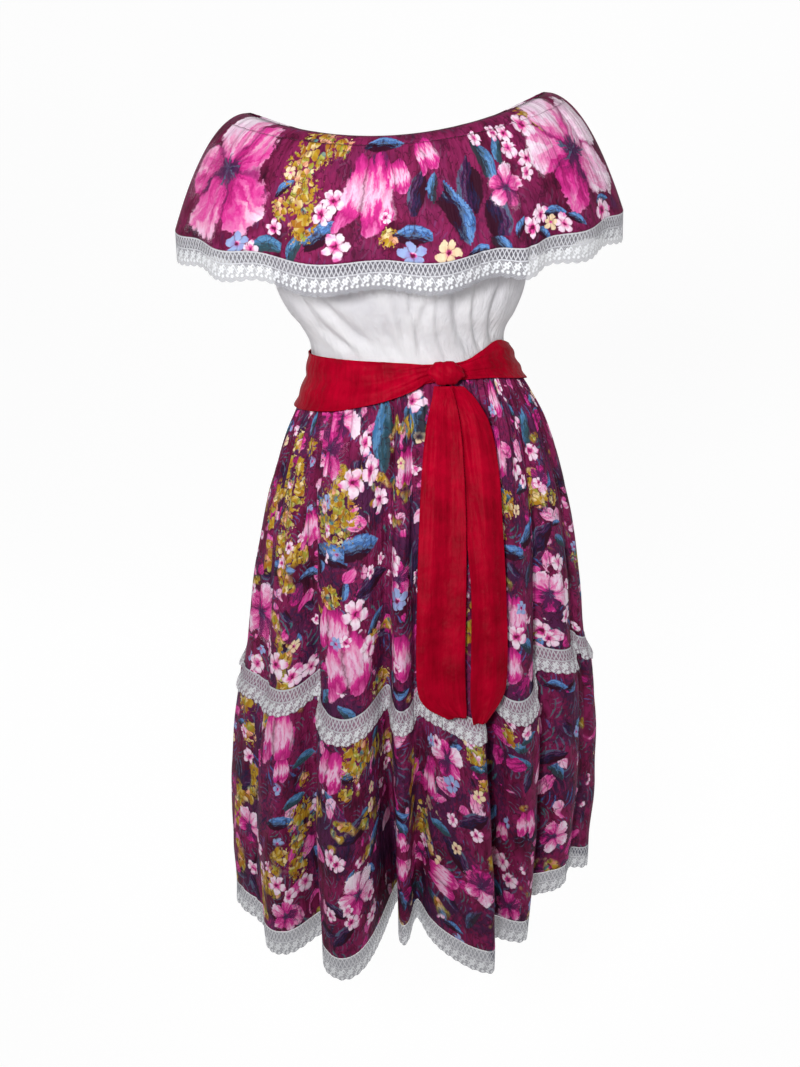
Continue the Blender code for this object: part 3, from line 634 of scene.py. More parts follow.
class Finish:
    """A cloth's material, and the nodes that work out its look."""

    def __init__(self, name, roughness, gloss):
        self.material = bpy.data.materials.new(name)
        self.material.use_nodes = True
        self.tree = self.material.node_tree
        self.shader = self.tree.nodes["Principled BSDF"]
        self.shader.inputs["Roughness"].default_value = roughness
        self.shader.inputs["Specular IOR Level"].default_value = gloss

    def feed(self, socket, value):
        if isinstance(value, Wire):
            self.tree.links.new(value.socket, socket)
        else:
            socket.default_value = value

    def node(self, kind, settings, inputs):
        """A new node: its settings first, then its sockets' values or links. Gives back its outputs."""
        node = self.tree.nodes.new(kind)
        for name, value in settings.items():
            if name == "stops":
                ramp = node.color_ramp.elements
                while len(ramp) < len(value):
                    ramp.new(0.5)
                for element, (place, colour) in zip(ramp, value):
                    element.position = place
                    element.color = colour
            elif name == "steps":
                node.color_ramp.interpolation = value
            else:
                setattr(node, name, value)
        for name, value in inputs.items():
            self.feed(node.inputs[name], value)
        return [Wire(self, socket) for socket in node.outputs]

    def maths(self, operation, *values):
        return self.node("ShaderNodeMath", {"operation": operation}, dict(enumerate(values)))[0]

    def least(self, *values):
        """The least of several values; most is its opposite."""
        return reduce(partial(self.maths, "MINIMUM"), values)

    def most(self, *values):
        return reduce(partial(self.maths, "MAXIMUM"), values)

    def vectors(self, operation, *values):
        return self.node("ShaderNodeVectorMath", {"operation": operation}, dict(enumerate(values)))[0]

    def split(self, vector):
        return self.node("ShaderNodeSeparateXYZ", {}, {0: vector})

    def join(self, x, y, z=0.0):
        return self.node("ShaderNodeCombineXYZ", {}, {0: x, 1: y, 2: z})[0]

    def map(self, name):
        return self.node("ShaderNodeUVMap", {"uv_map": name}, {})[0]

    def length(self, x, y):
        return self.maths("SQRT", x * x + y * y)

    def stretch(self, vector, shares):
        return self.vectors("MULTIPLY", vector, shares)

    def noise(self, at, scale, detail=2.0, rough=0.5, stretch=None):
        at = self.stretch(at, stretch) if stretch else at
        return self.node("ShaderNodeTexNoise", {}, {
            "Vector": at, "Scale": scale, "Detail": detail, "Roughness": rough})[0]

    def wobble(self, x, y, z, scale, detail=2.0, rough=0.5):
        """Noise on either side of nothing."""
        return self.noise(self.join(x, y, z), scale, detail, rough) - 0.5

    def drift(self, at, scale):
        """A soft random vector with a mean of nothing."""
        random = self.node("ShaderNodeTexNoise", {}, {"Vector": at, "Scale": scale, "Detail": 2.0})[1]
        return self.vectors("SUBTRACT", random, (0.5, 0.5, 0.5))

    def random(self, value):
        return self.node("ShaderNodeTexWhiteNoise", {"noise_dimensions": "1D"}, {"W": value})[0]

    def scatter(self, flat, scale, seed, low=0.0, high=2.0 * math.pi):
        """Places strewn over the cloth, each with its own turned coordinates and three random values."""
        moved = self.vectors("ADD", flat, (seed, 1.7 * seed, 0.0))
        _, tint, middle, _, _ = self.node(
            "ShaderNodeTexVoronoi", {"voronoi_dimensions": "2D"}, {"Vector": moved, "Scale": scale})
        first, second, third = self.split(tint)
        own = self.vectors("MULTIPLY", self.vectors("SUBTRACT", moved, middle), (scale, scale, 0.0))
        turned_own = self.node("ShaderNodeVectorRotate", {"rotation_type": "Z_AXIS"}, {
            "Vector": own, "Angle": low + first * (high - low)})[0]
        x, y, _ = self.split(turned_own)
        return x, y, first, second, third

    def step(self, value, low, high):
        """0 below low and 1 above high, with a soft change between; the other way round where low > high."""
        return self.node("ShaderNodeMapRange", {"interpolation_type": "SMOOTHSTEP"}, {
            "Value": value, "From Min": low, "From Max": high})[0]

    def ramp(self, value, stops, steps="LINEAR"):
        stops = [(place, (*colour, 1.0)) for place, colour in stops]
        return self.node("ShaderNodeValToRGB", {"stops": stops, "steps": steps}, {0: value})[0]

    def blend(self, share, low, high):
        """From the low colour to the high one."""
        low, high = [(*c, 1.0) if isinstance(c, tuple) else c for c in (low, high)]
        return self.node("ShaderNodeMix", {"data_type": "RGBA"}, {0: share, 6: low, 7: high})[2]

    def relief(self, height, depth, strength=1.0):
        inputs = {"Height": height, "Distance": depth, "Strength": strength}
        self.feed(self.shader.inputs["Normal"], self.node("ShaderNodeBump", {}, inputs)[0])

    def colour(self, colour):
        self.feed(self.shader.inputs["Base Color"], colour)


DEEP_WINE = (0.030, 0.001, 0.012)
BURGUNDY = (0.125, 0.004, 0.038)
RASPBERRY = (0.230, 0.012, 0.082)
PLUM = (0.085, 0.012, 0.070)
SLATE = (0.085, 0.125, 0.210)
NAVY = (0.012, 0.012, 0.050)
MAGENTA = (0.420, 0.010, 0.160)
HOT_PINK = (0.660, 0.035, 0.280)
PINK = (0.700, 0.120, 0.370)
LILAC_WHITE = (0.800, 0.520, 0.700)
ALMOST_WHITE = (0.880, 0.740, 0.840)
PALE_PINK = (0.780, 0.300, 0.500)
CREAM = (0.780, 0.620, 0.320)
MUSTARD = (0.460, 0.290, 0.018)
LIME_GREEN = (0.300, 0.330, 0.040)
OCHRE = (0.360, 0.140, 0.012)
PEACH = (0.840, 0.380, 0.260)
TEAL = (0.035, 0.180, 0.210)
CORNFLOWER = (0.045, 0.140, 0.400)
SKY = (0.160, 0.320, 0.620)

# The threads of the printed and the plain cotton, in radians for each metre of cloth.
PRINT_WEAVE = 9000.0
PLAIN_WEAVE = 8000.0


def paint_bloom(finish, at, tone):
    """The large blooms. Tones under 0.5 are open flowers with a dark eye, those above are hanging cups."""
    x, y, _ = finish.split(at)
    wobble = finish.wobble(x, y, tone * 23.0, 1.7, 3.0)
    radius = finish.length(x, y)
    pace = finish.maths("ARCTAN2", y, x) * (5.0 / (2.0 * math.pi)) + wobble * 0.7 + tone * 7.0
    across = finish.maths("FRACT", pace) - 0.5
    pick = finish.random(finish.maths("FLOORED_MODULO", finish.maths("FLOOR", pace), 5.0) + tone * 31.0)
    ragged = finish.wobble(x, y, tone * 5.0, 8.0, 2.0, 0.6)
    reach = 0.80 + 0.20 * pick - across * across * 1.3 + wobble * 0.30 + ragged * 0.30
    flower = finish.step(reach - radius, 0.0, 0.04)
    streak = finish.wobble(pace * 3.6, radius * 1.3, tone * 9.0, 1.6, 3.0, 0.6)
    light = radius * 0.60 + pick * 0.72 + streak * 1.15 + ragged * 0.30
    light = light - abs(across) * 0.40 + 0.07 - tone * 0.9
    flower_colour = finish.ramp(light, [
        (0.10, PLUM), (0.24, MAGENTA), (0.40, HOT_PINK), (0.54, PINK), (0.66, PALE_PINK), (0.80, LILAC_WHITE),
        (1.0, ALMOST_WHITE)])
    crease = finish.step(abs(across) + streak * 0.2, 0.40, 0.50)
    flower_colour = finish.blend(
        crease * 0.6, flower_colour, finish.ramp(radius, [(0.4, PLUM), (0.8, MAGENTA)]))
    eye = finish.step(0.20 + streak * 0.60 - radius, 0.0, 0.08)
    eye_colour = finish.ramp(streak + 0.5, [(0.35, NAVY), (0.55, PLUM), (0.66, SLATE)])
    flower_colour = finish.blend(eye, flower_colour, eye_colour)

    lobes = abs(finish.maths("SINE", x * 4.4 + 0.6 + wobble * 2.4))
    foot = y + 0.80 - 0.30 * (1.0 - lobes) + wobble * 0.5
    side = 0.62 - 0.16 * y - 0.24 * y * y - abs(x + 0.3 * wobble)
    head = 0.86 - y - 0.2 * (1.0 - lobes)
    cup = finish.step(finish.least(foot, side, head), 0.0, 0.045)
    thread = finish.wobble(x * 5.5, y * 1.1, tone * 17.0, 1.3, 3.0, 0.6)
    cup_colour = finish.ramp(y * 0.46 + 0.5 + thread * 0.75, [
        (0.02, PALE_PINK), (0.12, PINK), (0.24, MAGENTA), (0.36, HOT_PINK), (0.47, LILAC_WHITE),
        (0.57, PALE_PINK), (0.68, HOT_PINK), (0.84, MAGENTA), (0.94, PLUM)])
    cup_colour = finish.blend((1.0 - lobes) ** 5.0 * 0.8, cup_colour, BURGUNDY)

    hanging = finish.step(tone, 0.49, 0.51)
    return flower + (cup - flower) * hanging, finish.blend(hanging, flower_colour, cup_colour)


def paint_dabs(finish, flat, scale, seed):
    """Crowded small dabs in mustard, green and peach."""
    x, y, turn, hue, light = finish.scatter(flat, scale, seed)
    radius = finish.length(x, y)
    lobes = abs(finish.maths("COSINE", finish.maths("ARCTAN2", y, x) * 1.5 + turn * 6.0))
    shape = finish.step(0.37 + 0.17 * lobes + 0.08 * light - radius, 0.0, 0.10)
    colour = finish.ramp(hue, [
        (0.0, MUSTARD), (0.30, LIME_GREEN), (0.42, OCHRE), (0.52, CREAM), (0.60, MUSTARD), (0.76, PEACH),
        (0.83, TEAL), (0.90, LIME_GREEN)], "CONSTANT")
    shaded = finish.blend(finish.step(y + 0.4 * x, 0.22, -0.30) * 0.65, colour, OCHRE)
    return shape, finish.blend(finish.step(y, 0.10, 0.26) * light * 0.6, shaded, CREAM)


def paint_leaf(finish, x, y, tone):
    """Pointed leaves with streaks along them: blue ones, and shadowy ones at tones over 0.65."""
    wobble = finish.wobble(x, y, tone * 31.0, 1.6, 2.0)
    across = y + 0.18 * x * x - 0.08 + wobble * 0.20
    whole = finish.step(0.38 * (1.0 - x * x) + wobble * 0.14 - abs(across), 0.0, 0.06)
    streak = finish.noise(finish.join(x * 1.4, across * 6.0, tone * 13.0), 1.7, 3.0, 0.6)
    colour = finish.ramp(streak + 1.1 * across + 0.2 * x, [
        (0.30, DEEP_WINE), (0.40, NAVY), (0.50, SLATE), (0.60, CORNFLOWER), (0.72, SKY), (0.90, CORNFLOWER)])
    colour = finish.blend(finish.step(tone, 0.25, 0.45) * 0.35, colour, TEAL)
    dark = finish.ramp(streak + 0.9 * across, [(0.36, DEEP_WINE), (0.48, NAVY), (0.60, PLUM), (0.78, SLATE)])
    return whole, finish.blend(finish.step(tone, 0.60, 0.70), colour, dark)


def paint_strokes(finish, flat, scale, seed, low, high):
    """Thin bent brush strokes, two or three side by side, in greyish and clear blues."""
    x, y, _, hue, light = finish.scatter(flat, scale, seed, low, high)
    wobble = finish.wobble(x, y, hue * 20.0, 3.0, 2.0)
    across = y + 0.7 * x * x - 0.08 + wobble * 0.22
    lines = finish.maths("PINGPONG", across + 0.3 * light, 0.13)
    ends = finish.step(0.52 - abs(x) - 0.9 * abs(across), 0.0, 0.12)
    shape = finish.step(0.056 + wobble * 0.08 - lines, 0.0, 0.050) * ends
    colour = finish.ramp(hue, [
        (0.0, SLATE), (0.30, NAVY), (0.48, CORNFLOWER), (0.58, SLATE), (0.72, TEAL),
        (0.88, RASPBERRY)], "CONSTANT")
    return shape, colour


def paint_blossom(finish, x, y, tone):
    """Small five-petalled blossoms, pale with a dark red eye, and a few cream or blue ones."""
    radius = finish.length(x, y)
    wobble = finish.wobble(x, y, tone * 41.0, 1.5, 2.0)
    petals = abs(finish.maths("COSINE", finish.maths("ARCTAN2", y, x) * 2.5 + wobble * 2.6 + tone * 9.0))
    shape = finish.step(0.48 + 0.44 * petals ** 0.6 + wobble * 0.6 - radius, 0.0, 0.08)
    petal = finish.ramp(radius * 0.8 + wobble * 1.1 + 0.1, [
        (0.10, BURGUNDY), (0.20, HOT_PINK), (0.34, PALE_PINK), (0.54, ALMOST_WHITE), (0.78, LILAC_WHITE),
        (0.95, PINK)])
    other = finish.ramp(tone, [(0.0, PINK), (0.70, CREAM), (0.85, SKY)], "CONSTANT")
    petal = finish.blend(finish.step(tone, 0.62, 0.66) * 0.8 * finish.step(radius, 0.12, 0.3), petal, other)
    return shape, finish.blend((1.0 - petals) ** 5.0 * 0.8, petal, BURGUNDY)


def paint_petals(finish, flat, scale, seed):
    """Loose broad petals in pinks, streaked along their length."""
    x, y, turn, hue, light = finish.scatter(flat, scale, seed)
    streak = finish.wobble(x * 2.0, y * 6.0, turn * 20.0, 1.6, 3.0, 0.6)
    gap = 1.0 - x * x * 4.6 - y * y * (9.0 + 7.0 * light) + streak * 0.8
    colour = finish.ramp(hue * 0.55 + streak * 0.9 + 0.22 + x * 0.3, [
        (0.16, PLUM), (0.30, MAGENTA), (0.46, HOT_PINK), (0.60, PINK), (0.72, PALE_PINK),
        (0.86, LILAC_WHITE)])
    return finish.step(gap, 0.0, 0.14), colour


def flower_print():
    """Painterly flowers in pinks, mustards and blues over a wine-red ground, on a plain cotton weave."""
    finish = Finish("flower_print_cotton", roughness=0.74, gloss=0.16)
    flat = finish.map("cloth")
    tones = finish.node("ShaderNodeAttribute", {"attribute_name": "tones"}, {})
    bloom_tone, loose, leaf_tone = finish.split(tones[0])
    blossom_tone = tones[3]

    slow = finish.drift(flat, 26.0)
    quick = finish.drift(flat, 240.0)
    shake = finish.vectors("ADD", finish.stretch(slow, (0.26, 0.26, 0.0)),
                           finish.stretch(quick, (0.10, 0.10, 0.0)))
    own_shake = finish.stretch(shake, (2.2, 2.2, 0.0))
    bent = finish.vectors("ADD", flat, finish.stretch(shake, (0.020, 0.020, 0.0)))
    ragged, _, _ = finish.split(quick)
    zone = finish.node("ShaderNodeTexNoise", {}, {"Vector": flat, "Scale": 17.0, "Detail": 2.0})[1]
    zone_pink, zone_gold, zone_blue = finish.split(zone)

    broad = finish.noise(bent, 14.0, 2.0, 0.6)
    brushed = finish.noise(bent, 130.0, 2.0, 0.6, stretch=(1.0, 0.3, 1.0))
    colour = finish.ramp(broad * 0.7 + brushed * 0.3, [
        (0.34, DEEP_WINE), (0.43, BURGUNDY), (0.53, RASPBERRY), (0.61, BURGUNDY), (0.70, PLUM)])

    def lay(shape, own, under):
        return finish.blend(shape, under, own)

    def charted(layer, shift):
        return finish.vectors("ADD", finish.map(layer), shift)

    colour = lay(finish.step(zone_blue + 0.5 * ragged, 0.47, 0.60) * (0.15 + 0.5 * loose), NAVY, colour)
    shape, own = paint_strokes(finish, bent, 34.0, 3.0, 0.6, 2.5)
    colour = lay(shape * finish.step(zone_blue, 0.42, 0.46) * (0.15 + 0.6 * loose), own, colour)
    x, y, tone, _, light = finish.scatter(bent, 27.0, 5.0)
    shape, own = paint_leaf(finish, x * 2.0, y * 2.0, tone)
    strewn = shape * finish.step(light, 0.50, 0.54) * finish.step(zone_blue, 0.49, 0.52) * loose
    colour = lay(strewn, own, colour)
    shape, own = paint_petals(finish, bent, 30.0, 7.0)
    colour = lay(shape * finish.step(zone_pink, 0.55, 0.565) * loose, own, colour)
    shape, own = paint_strokes(finish, bent, 52.0, 9.0, 0.2, 3.0)
    colour = lay(shape * finish.step(zone_blue, 0.52, 0.47) * loose * 0.6, own, colour)

    shape, own = paint_leaf(finish, *finish.split(charted("leaf", shake))[:2], leaf_tone)
    colour = lay(shape, own, colour)
    x, y, _ = finish.split(finish.map("cluster"))
    patch = finish.step(0.70 - finish.length(x, y) + ragged * 1.4, 0.0, 0.05)
    golden = finish.most(patch, finish.step(zone_gold, 0.61, 0.65) * loose)
    for scale, seed in ((78.0, 11.0), (120.0, 13.0)):
        shape, own = paint_dabs(finish, bent, scale, seed)
        colour = lay(shape * golden, own, colour)
    dry = abs(finish.noise(bent, 95.0, 2.0, stretch=(1.0, 0.55, 1.0)) - 0.5)
    colour = finish.blend(finish.step(dry, 0.026, 0.006) * 0.6, colour, DEEP_WINE)
    shape, own = paint_bloom(finish, charted("bloom", shake), bloom_tone)
    colour = lay(shape, own, colour)
    x, y, tone, _, light = finish.scatter(bent, 50.0, 15.0)
    shape, own = paint_blossom(finish, x * 2.1, y * 2.1, tone)
    strewn = shape * finish.step(light, 0.74, 0.78) * finish.step(zone_pink, 0.48, 0.45) * loose
    colour = lay(strewn, own, colour)
    shape, own = paint_blossom(finish, *finish.split(charted("blossom", own_shake))[:2], blossom_tone)
    colour = lay(shape, own, colour)
    finish.colour(colour)

    across, down, _ = finish.split(flat)
    weave = finish.maths("SINE", across * PRINT_WEAVE) * finish.maths("SINE", down * PRINT_WEAVE)
    crinkle = finish.noise(bent, 120.0, 2.0, 0.6, stretch=(1.0, 0.13, 1.0))
    crumple = finish.noise(flat, 42.0, 2.0, 0.55)
    finish.relief(crumple * 0.6 + crinkle + weave * 0.015, 3.6 * MM, 0.85)
    return finish.material


def white_cotton():
    """Plain white cotton with a fine weave and slight crumpling."""
    finish = Finish("white_cotton", roughness=0.85, gloss=0.2)
    flat = finish.map("cloth")
    across, down, _ = finish.split(flat)
    soft = finish.noise(flat, 18.0, 3.0, 0.6)
    finish.colour(finish.ramp(soft, [(0.3, (0.58, 0.57, 0.60)), (0.6, (0.68, 0.67, 0.69))]))
    weave = finish.maths("SINE", across * PLAIN_WEAVE) * finish.maths("SINE", down * PLAIN_WEAVE)
    crumple = finish.noise(flat, 38.0, 4.0, 0.6, stretch=(1.0, 0.40, 1.0))
    finish.relief(crumple + weave * 0.01, 6.0 * MM, 1.0)
    return finish.material


# Places down the lace in metres: its tape, its row of flowers and the dots along its scallops. The net's pace
# is in radians for each metre.
TAPE_DOWN = 0.0130
FLOWERS_DOWN = 0.0190
DOTS_DOWN = 0.0258
NET_PACE = 1250.0


def white_lace(name, cover, painted_see_through=(0.10, 0.10, 0.14)):
    """A lace trim: crossed bars, then a close net with scrolls and round flowers over its edge.

    cover is how much its open parts hide, and the colour after it is what they show: by default a dark grey
    that is painted shade.
    """
    finish = Finish(name, roughness=0.8, gloss=0.15)
    across, down, _ = finish.split(finish.map("cloth"))
    zigzag = finish.maths("PINGPONG", across, 0.0050) * 2.1
    crossed = finish.least(abs(down - 0.0014 - zigzag), abs(down - 0.0119 + zigzag))
    bars = finish.step(crossed, 0.0019, 0.0010)
    ladder = finish.step(down, TAPE_DOWN, 0.0126)
    pace = across / SCALLOP
    cell_x = finish.maths("FRACT", pace) - 0.5
    cell_y = (down - FLOWERS_DOWN) / SCALLOP
    radius = finish.length(cell_x, cell_y)
    petals = abs(finish.maths("COSINE", finish.maths("ARCTAN2", cell_y, cell_x) * 3.0))
    flower = finish.step(0.24 + 0.16 * petals - radius, 0.0, 0.05) * finish.step(radius, 0.06, 0.09)
    scroll_y = abs(down - FLOWERS_DOWN - finish.maths("SINE", pace * (2.0 * math.pi)) * 0.0042)
    scroll = finish.step(scroll_y, 0.0013, 0.0009)
    small_x = finish.maths("FRACT", pace * 2.0 + 0.25) - 0.5
    small_y = (down - DOTS_DOWN) / (SCALLOP / 2)
    dots = finish.step(finish.length(small_x, small_y), 0.36, 0.28)
    diamond = finish.least(
        abs(finish.maths("SINE", (across + down) * NET_PACE)),
        abs(finish.maths("SINE", (across - down) * NET_PACE)))
    net = finish.step(diamond, 0.50, 0.34)
    raised = finish.most(flower, scroll, dots)
    close = finish.most(raised, net) * finish.step(down, 0.0126, TAPE_DOWN)
    edging = finish.step(down, 0.0018, 0.0014)
    tape = finish.step(abs(down - TAPE_DOWN), 0.0010, 0.0006)
    solid = finish.most(finish.most(edging, tape), bars * ladder)
    solid = finish.most(solid, close)
    # The open parts take the see-through colour, by default a dark grey that is painted shade.
    finish.colour(finish.ramp(solid * 0.6 + raised * 0.4, [
        (0.0, painted_see_through), (0.6, (0.57, 0.57, 0.61)), (1.0, (0.76, 0.77, 0.80))]))
    # Random mottling of how much the net covers, and so of how much painted shade shows in its open parts.
    mottled_cover = finish.noise(finish.join(across, down), 420.0, 2.0)
    finish.feed(finish.shader.inputs["Alpha"], cover + solid * (0.82 - cover) + mottled_cover * 0.18)
    finish.relief(solid + raised * 0.6, 0.5 * MM, 0.8)
    return finish.material


def red_satin():
    """Crimson satin: a close weave that shines along its folds, with faint streaks down its length."""
    finish = Finish("red_satin", roughness=0.50, gloss=0.03)
    flat = finish.map("cloth")
    broad = finish.noise(flat, 20.0, 3.0, 0.6)
    threads = finish.noise(flat, 260.0, 2.0, 0.6, stretch=(1.0, 0.06, 1.0))
    finish.colour(finish.ramp(broad * 0.7 + threads * 0.3, [
        (0.34, (0.200, 0.0, 0.007)), (0.50, (0.320, 0.0, 0.013)), (0.66, (0.440, 0.0, 0.019))]))
    finish.feed(finish.shader.inputs["Roughness"], 0.42 + 0.16 * broad)
    crease = finish.noise(flat, 42.0, 3.0, stretch=(1.0, 0.75, 1.0))
    finish.relief(crease + threads * 0.10, 5.5 * MM, 1.0)
    return finish.material


def glowing_paper():
    finish = Finish("glowing_backdrop", roughness=0.9, gloss=0.1)
    at = finish.node("ShaderNodeTexCoord", {}, {})[3]
    finish.colour(finish.ramp(finish.noise(at, 0.8), [(0.3, (0.12, 0.12, 0.122)), (0.7, (0.13, 0.13, 0.13))]))
    # Painted light: the backdrop's own colour is a dark grey, and its paleness is a glow, full behind the
    # dress and faint in front of it.
    behind = finish.step(finish.split(at)[1], -1.3, 0.05)
    glow = finish.blend(behind, (0.2, 0.2, 0.2), (1.0, 1.0, 1.0))
    finish.feed(finish.shader.inputs["Emission Color"], glow)
    finish.shader.inputs["Emission Strength"].default_value = 0.92
    return finish.material


PRINT, COTTON_WHITE, SASH_RED = flower_print(), white_cotton(), red_satin()
# The ruffle and hem lace fill their open parts with dark grey painted shade, the hem lace most thickly.
LACE_WHITE, HEM_LACE_WHITE = white_lace("white_lace", 0.32), white_lace("white_hem_lace", 0.70)
TIER_LACE_WHITE = white_lace("white_tier_lace", 0.60, (0.400, 0.240, 0.330))


def dress_piece(piece, node, material, thickness=0.0):
    """Finishes a piece: its material and wall, what it stands for and what it rides on."""
    piece.data.materials.append(material)
    if thickness:
        wall = piece.modifiers.new("wall", "SOLIDIFY")
        wall.thickness = thickness
        wall.offset = -1
    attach(piece, "root")
    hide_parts(node)
    return piece


def even(start, end, count):
    return np.linspace(start, end, count + 1)


def chart(loose, bloom, cluster, leaf, blossom):
    """A panel's motifs, layer by layer; loose is the share of smaller ones that are strewn between them."""
    patches = [(*row, 0, loose) for row in cluster]
    return {"bloom": bloom, "cluster": patches, "leaf": leaf, "blossom": blossom}


# The print's large motifs: across and down the flat cloth and size in mm, turn in degrees and tone. They were
# picked off the photo by eye, in pixels, but most places and sizes here were worked out by another script,
# which cast them onto the cloth. Few rows are set one by one. The clusters are round patches of dabs and have
# neither turn nor tone.
RUFFLE_CHART = chart(
    loose=0,
    bloom=(
        (107, 44, 92, 12, .02), (304, 52, 55, -8, .7), (341, 36, 24, 10, .8), (380, 14, 24, 20, .75),
        (476, 61, 27, 0, .2), (589, 44, 79, -20, .12),),
    cluster=(
        (99, 3, 27), (200, 74, 18), (212, 30, 28), (222, 61, 31), (226, 5, 36), (229, 89, 24), (261, 1, 20),
        (329, 102, 15), (560, -4, 26),),
    leaf=(
        (187, 118, 26, 10, .45), (198, 52, 16, 40, .15), (222, 115, 21, 75, .4), (248, 99, 33, 35, .1),
        (322, -1, 30, 4, .1), (357, 99, 28, 3, .1), (365, 55, 30, 72, .8), (383, 52, 21, 80, .35),
        (408, 77, 46, -62, .12), (431, 58, 46, 82, .8), (434, 125, 18, 0, .2), (455, 32, 30, -72, .35),
        (458, 89, 39, -80, .8), (460, 125, 22, -62, .3), (479, 22, 21, 78, .4), (484, 105, 14, 60, .25),
        (513, 121, 15, -50, .15), (532, 102, 18, 0, .1), (559, 112, 15, -30, .2), (612, 105, 14, 0, .3),),
    blossom=(
        (151, 118, 15, 0, .9), (167, 125, 13, 0, .3), (194, 96, 12, 0, .55), (200, 35, 8, 0, .72),
        (251, 74, 15, 40, .2), (261, 61, 17, 0, .1), (271, 108, 18, 20, .15), (326, 80, 8, 0, .2),
        (355, 118, 17, 0, .9), (396, 118, 17, 0, .76), (453, 5, 10, 0, .3), (482, 3, 10, 0, .45),
        (496, 24, 13, 30, .3), (499, 7, 13, 0, .1), (499, 108, 14, 0, .5), (510, 52, 10, 0, .4),
        (513, 99, 13, 0, .6), (515, 38, 14, 0, .1), (526, 112, 10, 0, .72), (535, 5, 17, 0, .2),
        (541, 115, 13, 20, .35), (608, 118, 17, 0, .2),),
)
UPPER_CHART = chart(
    loose=1,
    bloom=(
        (77, 301, 42, 0, .2), (180, 190, 28, 0, .7), (225, 80, 43, 0, .3), (244, 39, 40, 0, .25),
        (253, 285, 35, 0, .8), (275, 323, 51, 8, .72), (371, 323, 36, 0, .75), (372, 227, 26, 0, .3),
        (387, 100, 27, 0, .8), (562, 105, 31, 0, .72), (572, 34, 28, 0, .75), (582, 345, 30, 0, .75),
        (588, 285, 32, 0, .72), (691, 149, 23, 0, .22), (693, 307, 34, 0, .25),),
    cluster=(
        (73, 185, 15), (118, 80, 24), (130, 206, 28), (133, 175, 22), (140, 139, 34), (140, 109, 20),
        (168, 85, 18), (249, 154, 45), (249, 248, 20), (311, 307, 15), (324, 372, 21), (566, 190, 15),
        (578, 154, 22), (668, 367, 20), (713, 175, 15),),
    leaf=(
        (127, 237, 30, 5, .12), (162, 52, 21, 60, .4), (177, 253, 21, 0, .2), (217, 149, 21, 0, .4),
        (253, 201, 40, -5, .15), (284, 190, 40, 8, .1), (311, 237, 30, 12, .8), (315, 291, 22, 42, .3),
        (332, 66, 48, 86, .42), (407, 216, 34, 70, .8), (412, 48, 34, 84, .35), (588, 211, 26, 0, .12),
        (621, 139, 20, 0, .3), (621, 196, 32, 15, .1), (669, 318, 30, 62, .4), (684, 85, 32, 80, .45),
        (686, 232, 32, 60, .8), (713, 211, 12, 0, .15),),
    blossom=(
        (72, 372, 14, 0, .3), (105, 339, 18, 0, .15), (130, 356, 20, 30, .1), (154, 372, 15, 0, .2),
        (174, 372, 14, 0, .35), (275, 114, 21, 0, .1), (284, 264, 20, 0, .1), (296, 71, 18, 0, .3),
        (303, 312, 17, 0, .6), (307, 105, 20, 20, .2), (327, 144, 18, 0, .15), (365, 206, 15, 0, .3),
        (372, 253, 17, 0, .9), (409, 25, 16, 0, .4), (592, 307, 16, 0, .1), (609, 114, 16, 0, .1),
        (657, 71, 15, 0, .2), (681, 361, 15, 0, .5), (686, 114, 15, 0, .2), (693, 372, 14, 0, .2),
        (708, 264, 14, 0, .3), (718, 339, 13, 0, .4), (768, 52, 14, 0, .55),),
)
LOWER_CHART = chart(
    loose=1,
    bloom=(
        (100, 179, 25, 0, .25), (174, 46, 39, 0, .72), (182, 84, 18, 0, .8), (182, 255, 22, 0, .35),
        (304, 55, 32, -12, .78), (344, 203, 30, 0, .12), (490, 198, 19, 0, .74), (491, 160, 16, 0, .78),
        (539, 203, 15, 0, .3), (554, 98, 22, 0, .74), (576, 208, 27, 80, .8), (585, 58, 27, 0, .15),
        (626, 193, 25, 0, .22), (728, 165, 14, 0, .72), (740, 255, 22, 0, .3), (762, 146, 22, 0, .78),
        (871, 227, 22, 0, .28),),
    cluster=(
        (85, 27, 22), (95, 64, 19), (182, 184, 14), (204, 174, 16), (204, 203, 19), (212, 151, 26),
        (215, 108, 12), (328, 79, 12), (344, 42, 34), (541, 141, 14), (541, 170, 12), (630, 36, 19),
        (638, 70, 11), (743, 42, 14),),
    leaf=(
        (82, 58, 13, 0, .3), (114, 127, 30, 12, .8), (178, 146, 22, 0, .1), (200, 127, 18, 10, .4),
        (215, 84, 19, 0, .42), (313, 217, 17, -30, .8), (323, 246, 21, 40, .8), (333, 61, 17, 5, .1),
        (333, 179, 11, 60, .35), (344, 127, 34, 15, .8), (364, 189, 17, -32, .25), (379, 160, 24, 48, .3),
        (490, 127, 17, 0, .12), (569, 246, 21, -40, .35), (591, 260, 14, 0, .12), (597, 170, 27, -42, .8),
        (621, 117, 24, 30, .8), (630, 52, 11, 0, .4), (766, 89, 19, 60, .8), (769, 42, 14, 10, .4),
        (861, 127, 22, 20, .8), (865, 39, 17, 0, .1),),
    blossom=(
        (96, 93, 11, 0, .6), (101, 232, 10, 0, .45), (137, 184, 12, 0, .2), (174, 217, 14, 0, .1),
        (190, 232, 11, 0, .4), (212, 227, 12, 0, .3), (309, 155, 13, 0, .3), (318, 160, 11, 0, .2),
        (333, 232, 11, 0, .2), (364, 246, 11, 0, .35), (371, 113, 10, 0, .74), (591, 84, 13, 0, .9),
        (591, 127, 10, 0, .3), (630, 84, 10, 0, .78), (728, 203, 12, 0, .3), (740, 222, 12, 0, .2),),
)


def turned(motifs, side, width):
    """A panel's chart: the front's as it is, and for the back the same print from its other edge."""
    if side < 0:
        return motifs
    return {layer: [(width / MM - across, down, size, -turn, tone) for across, down, size, turn, tone in rows]
            for layer, rows in motifs.items()}


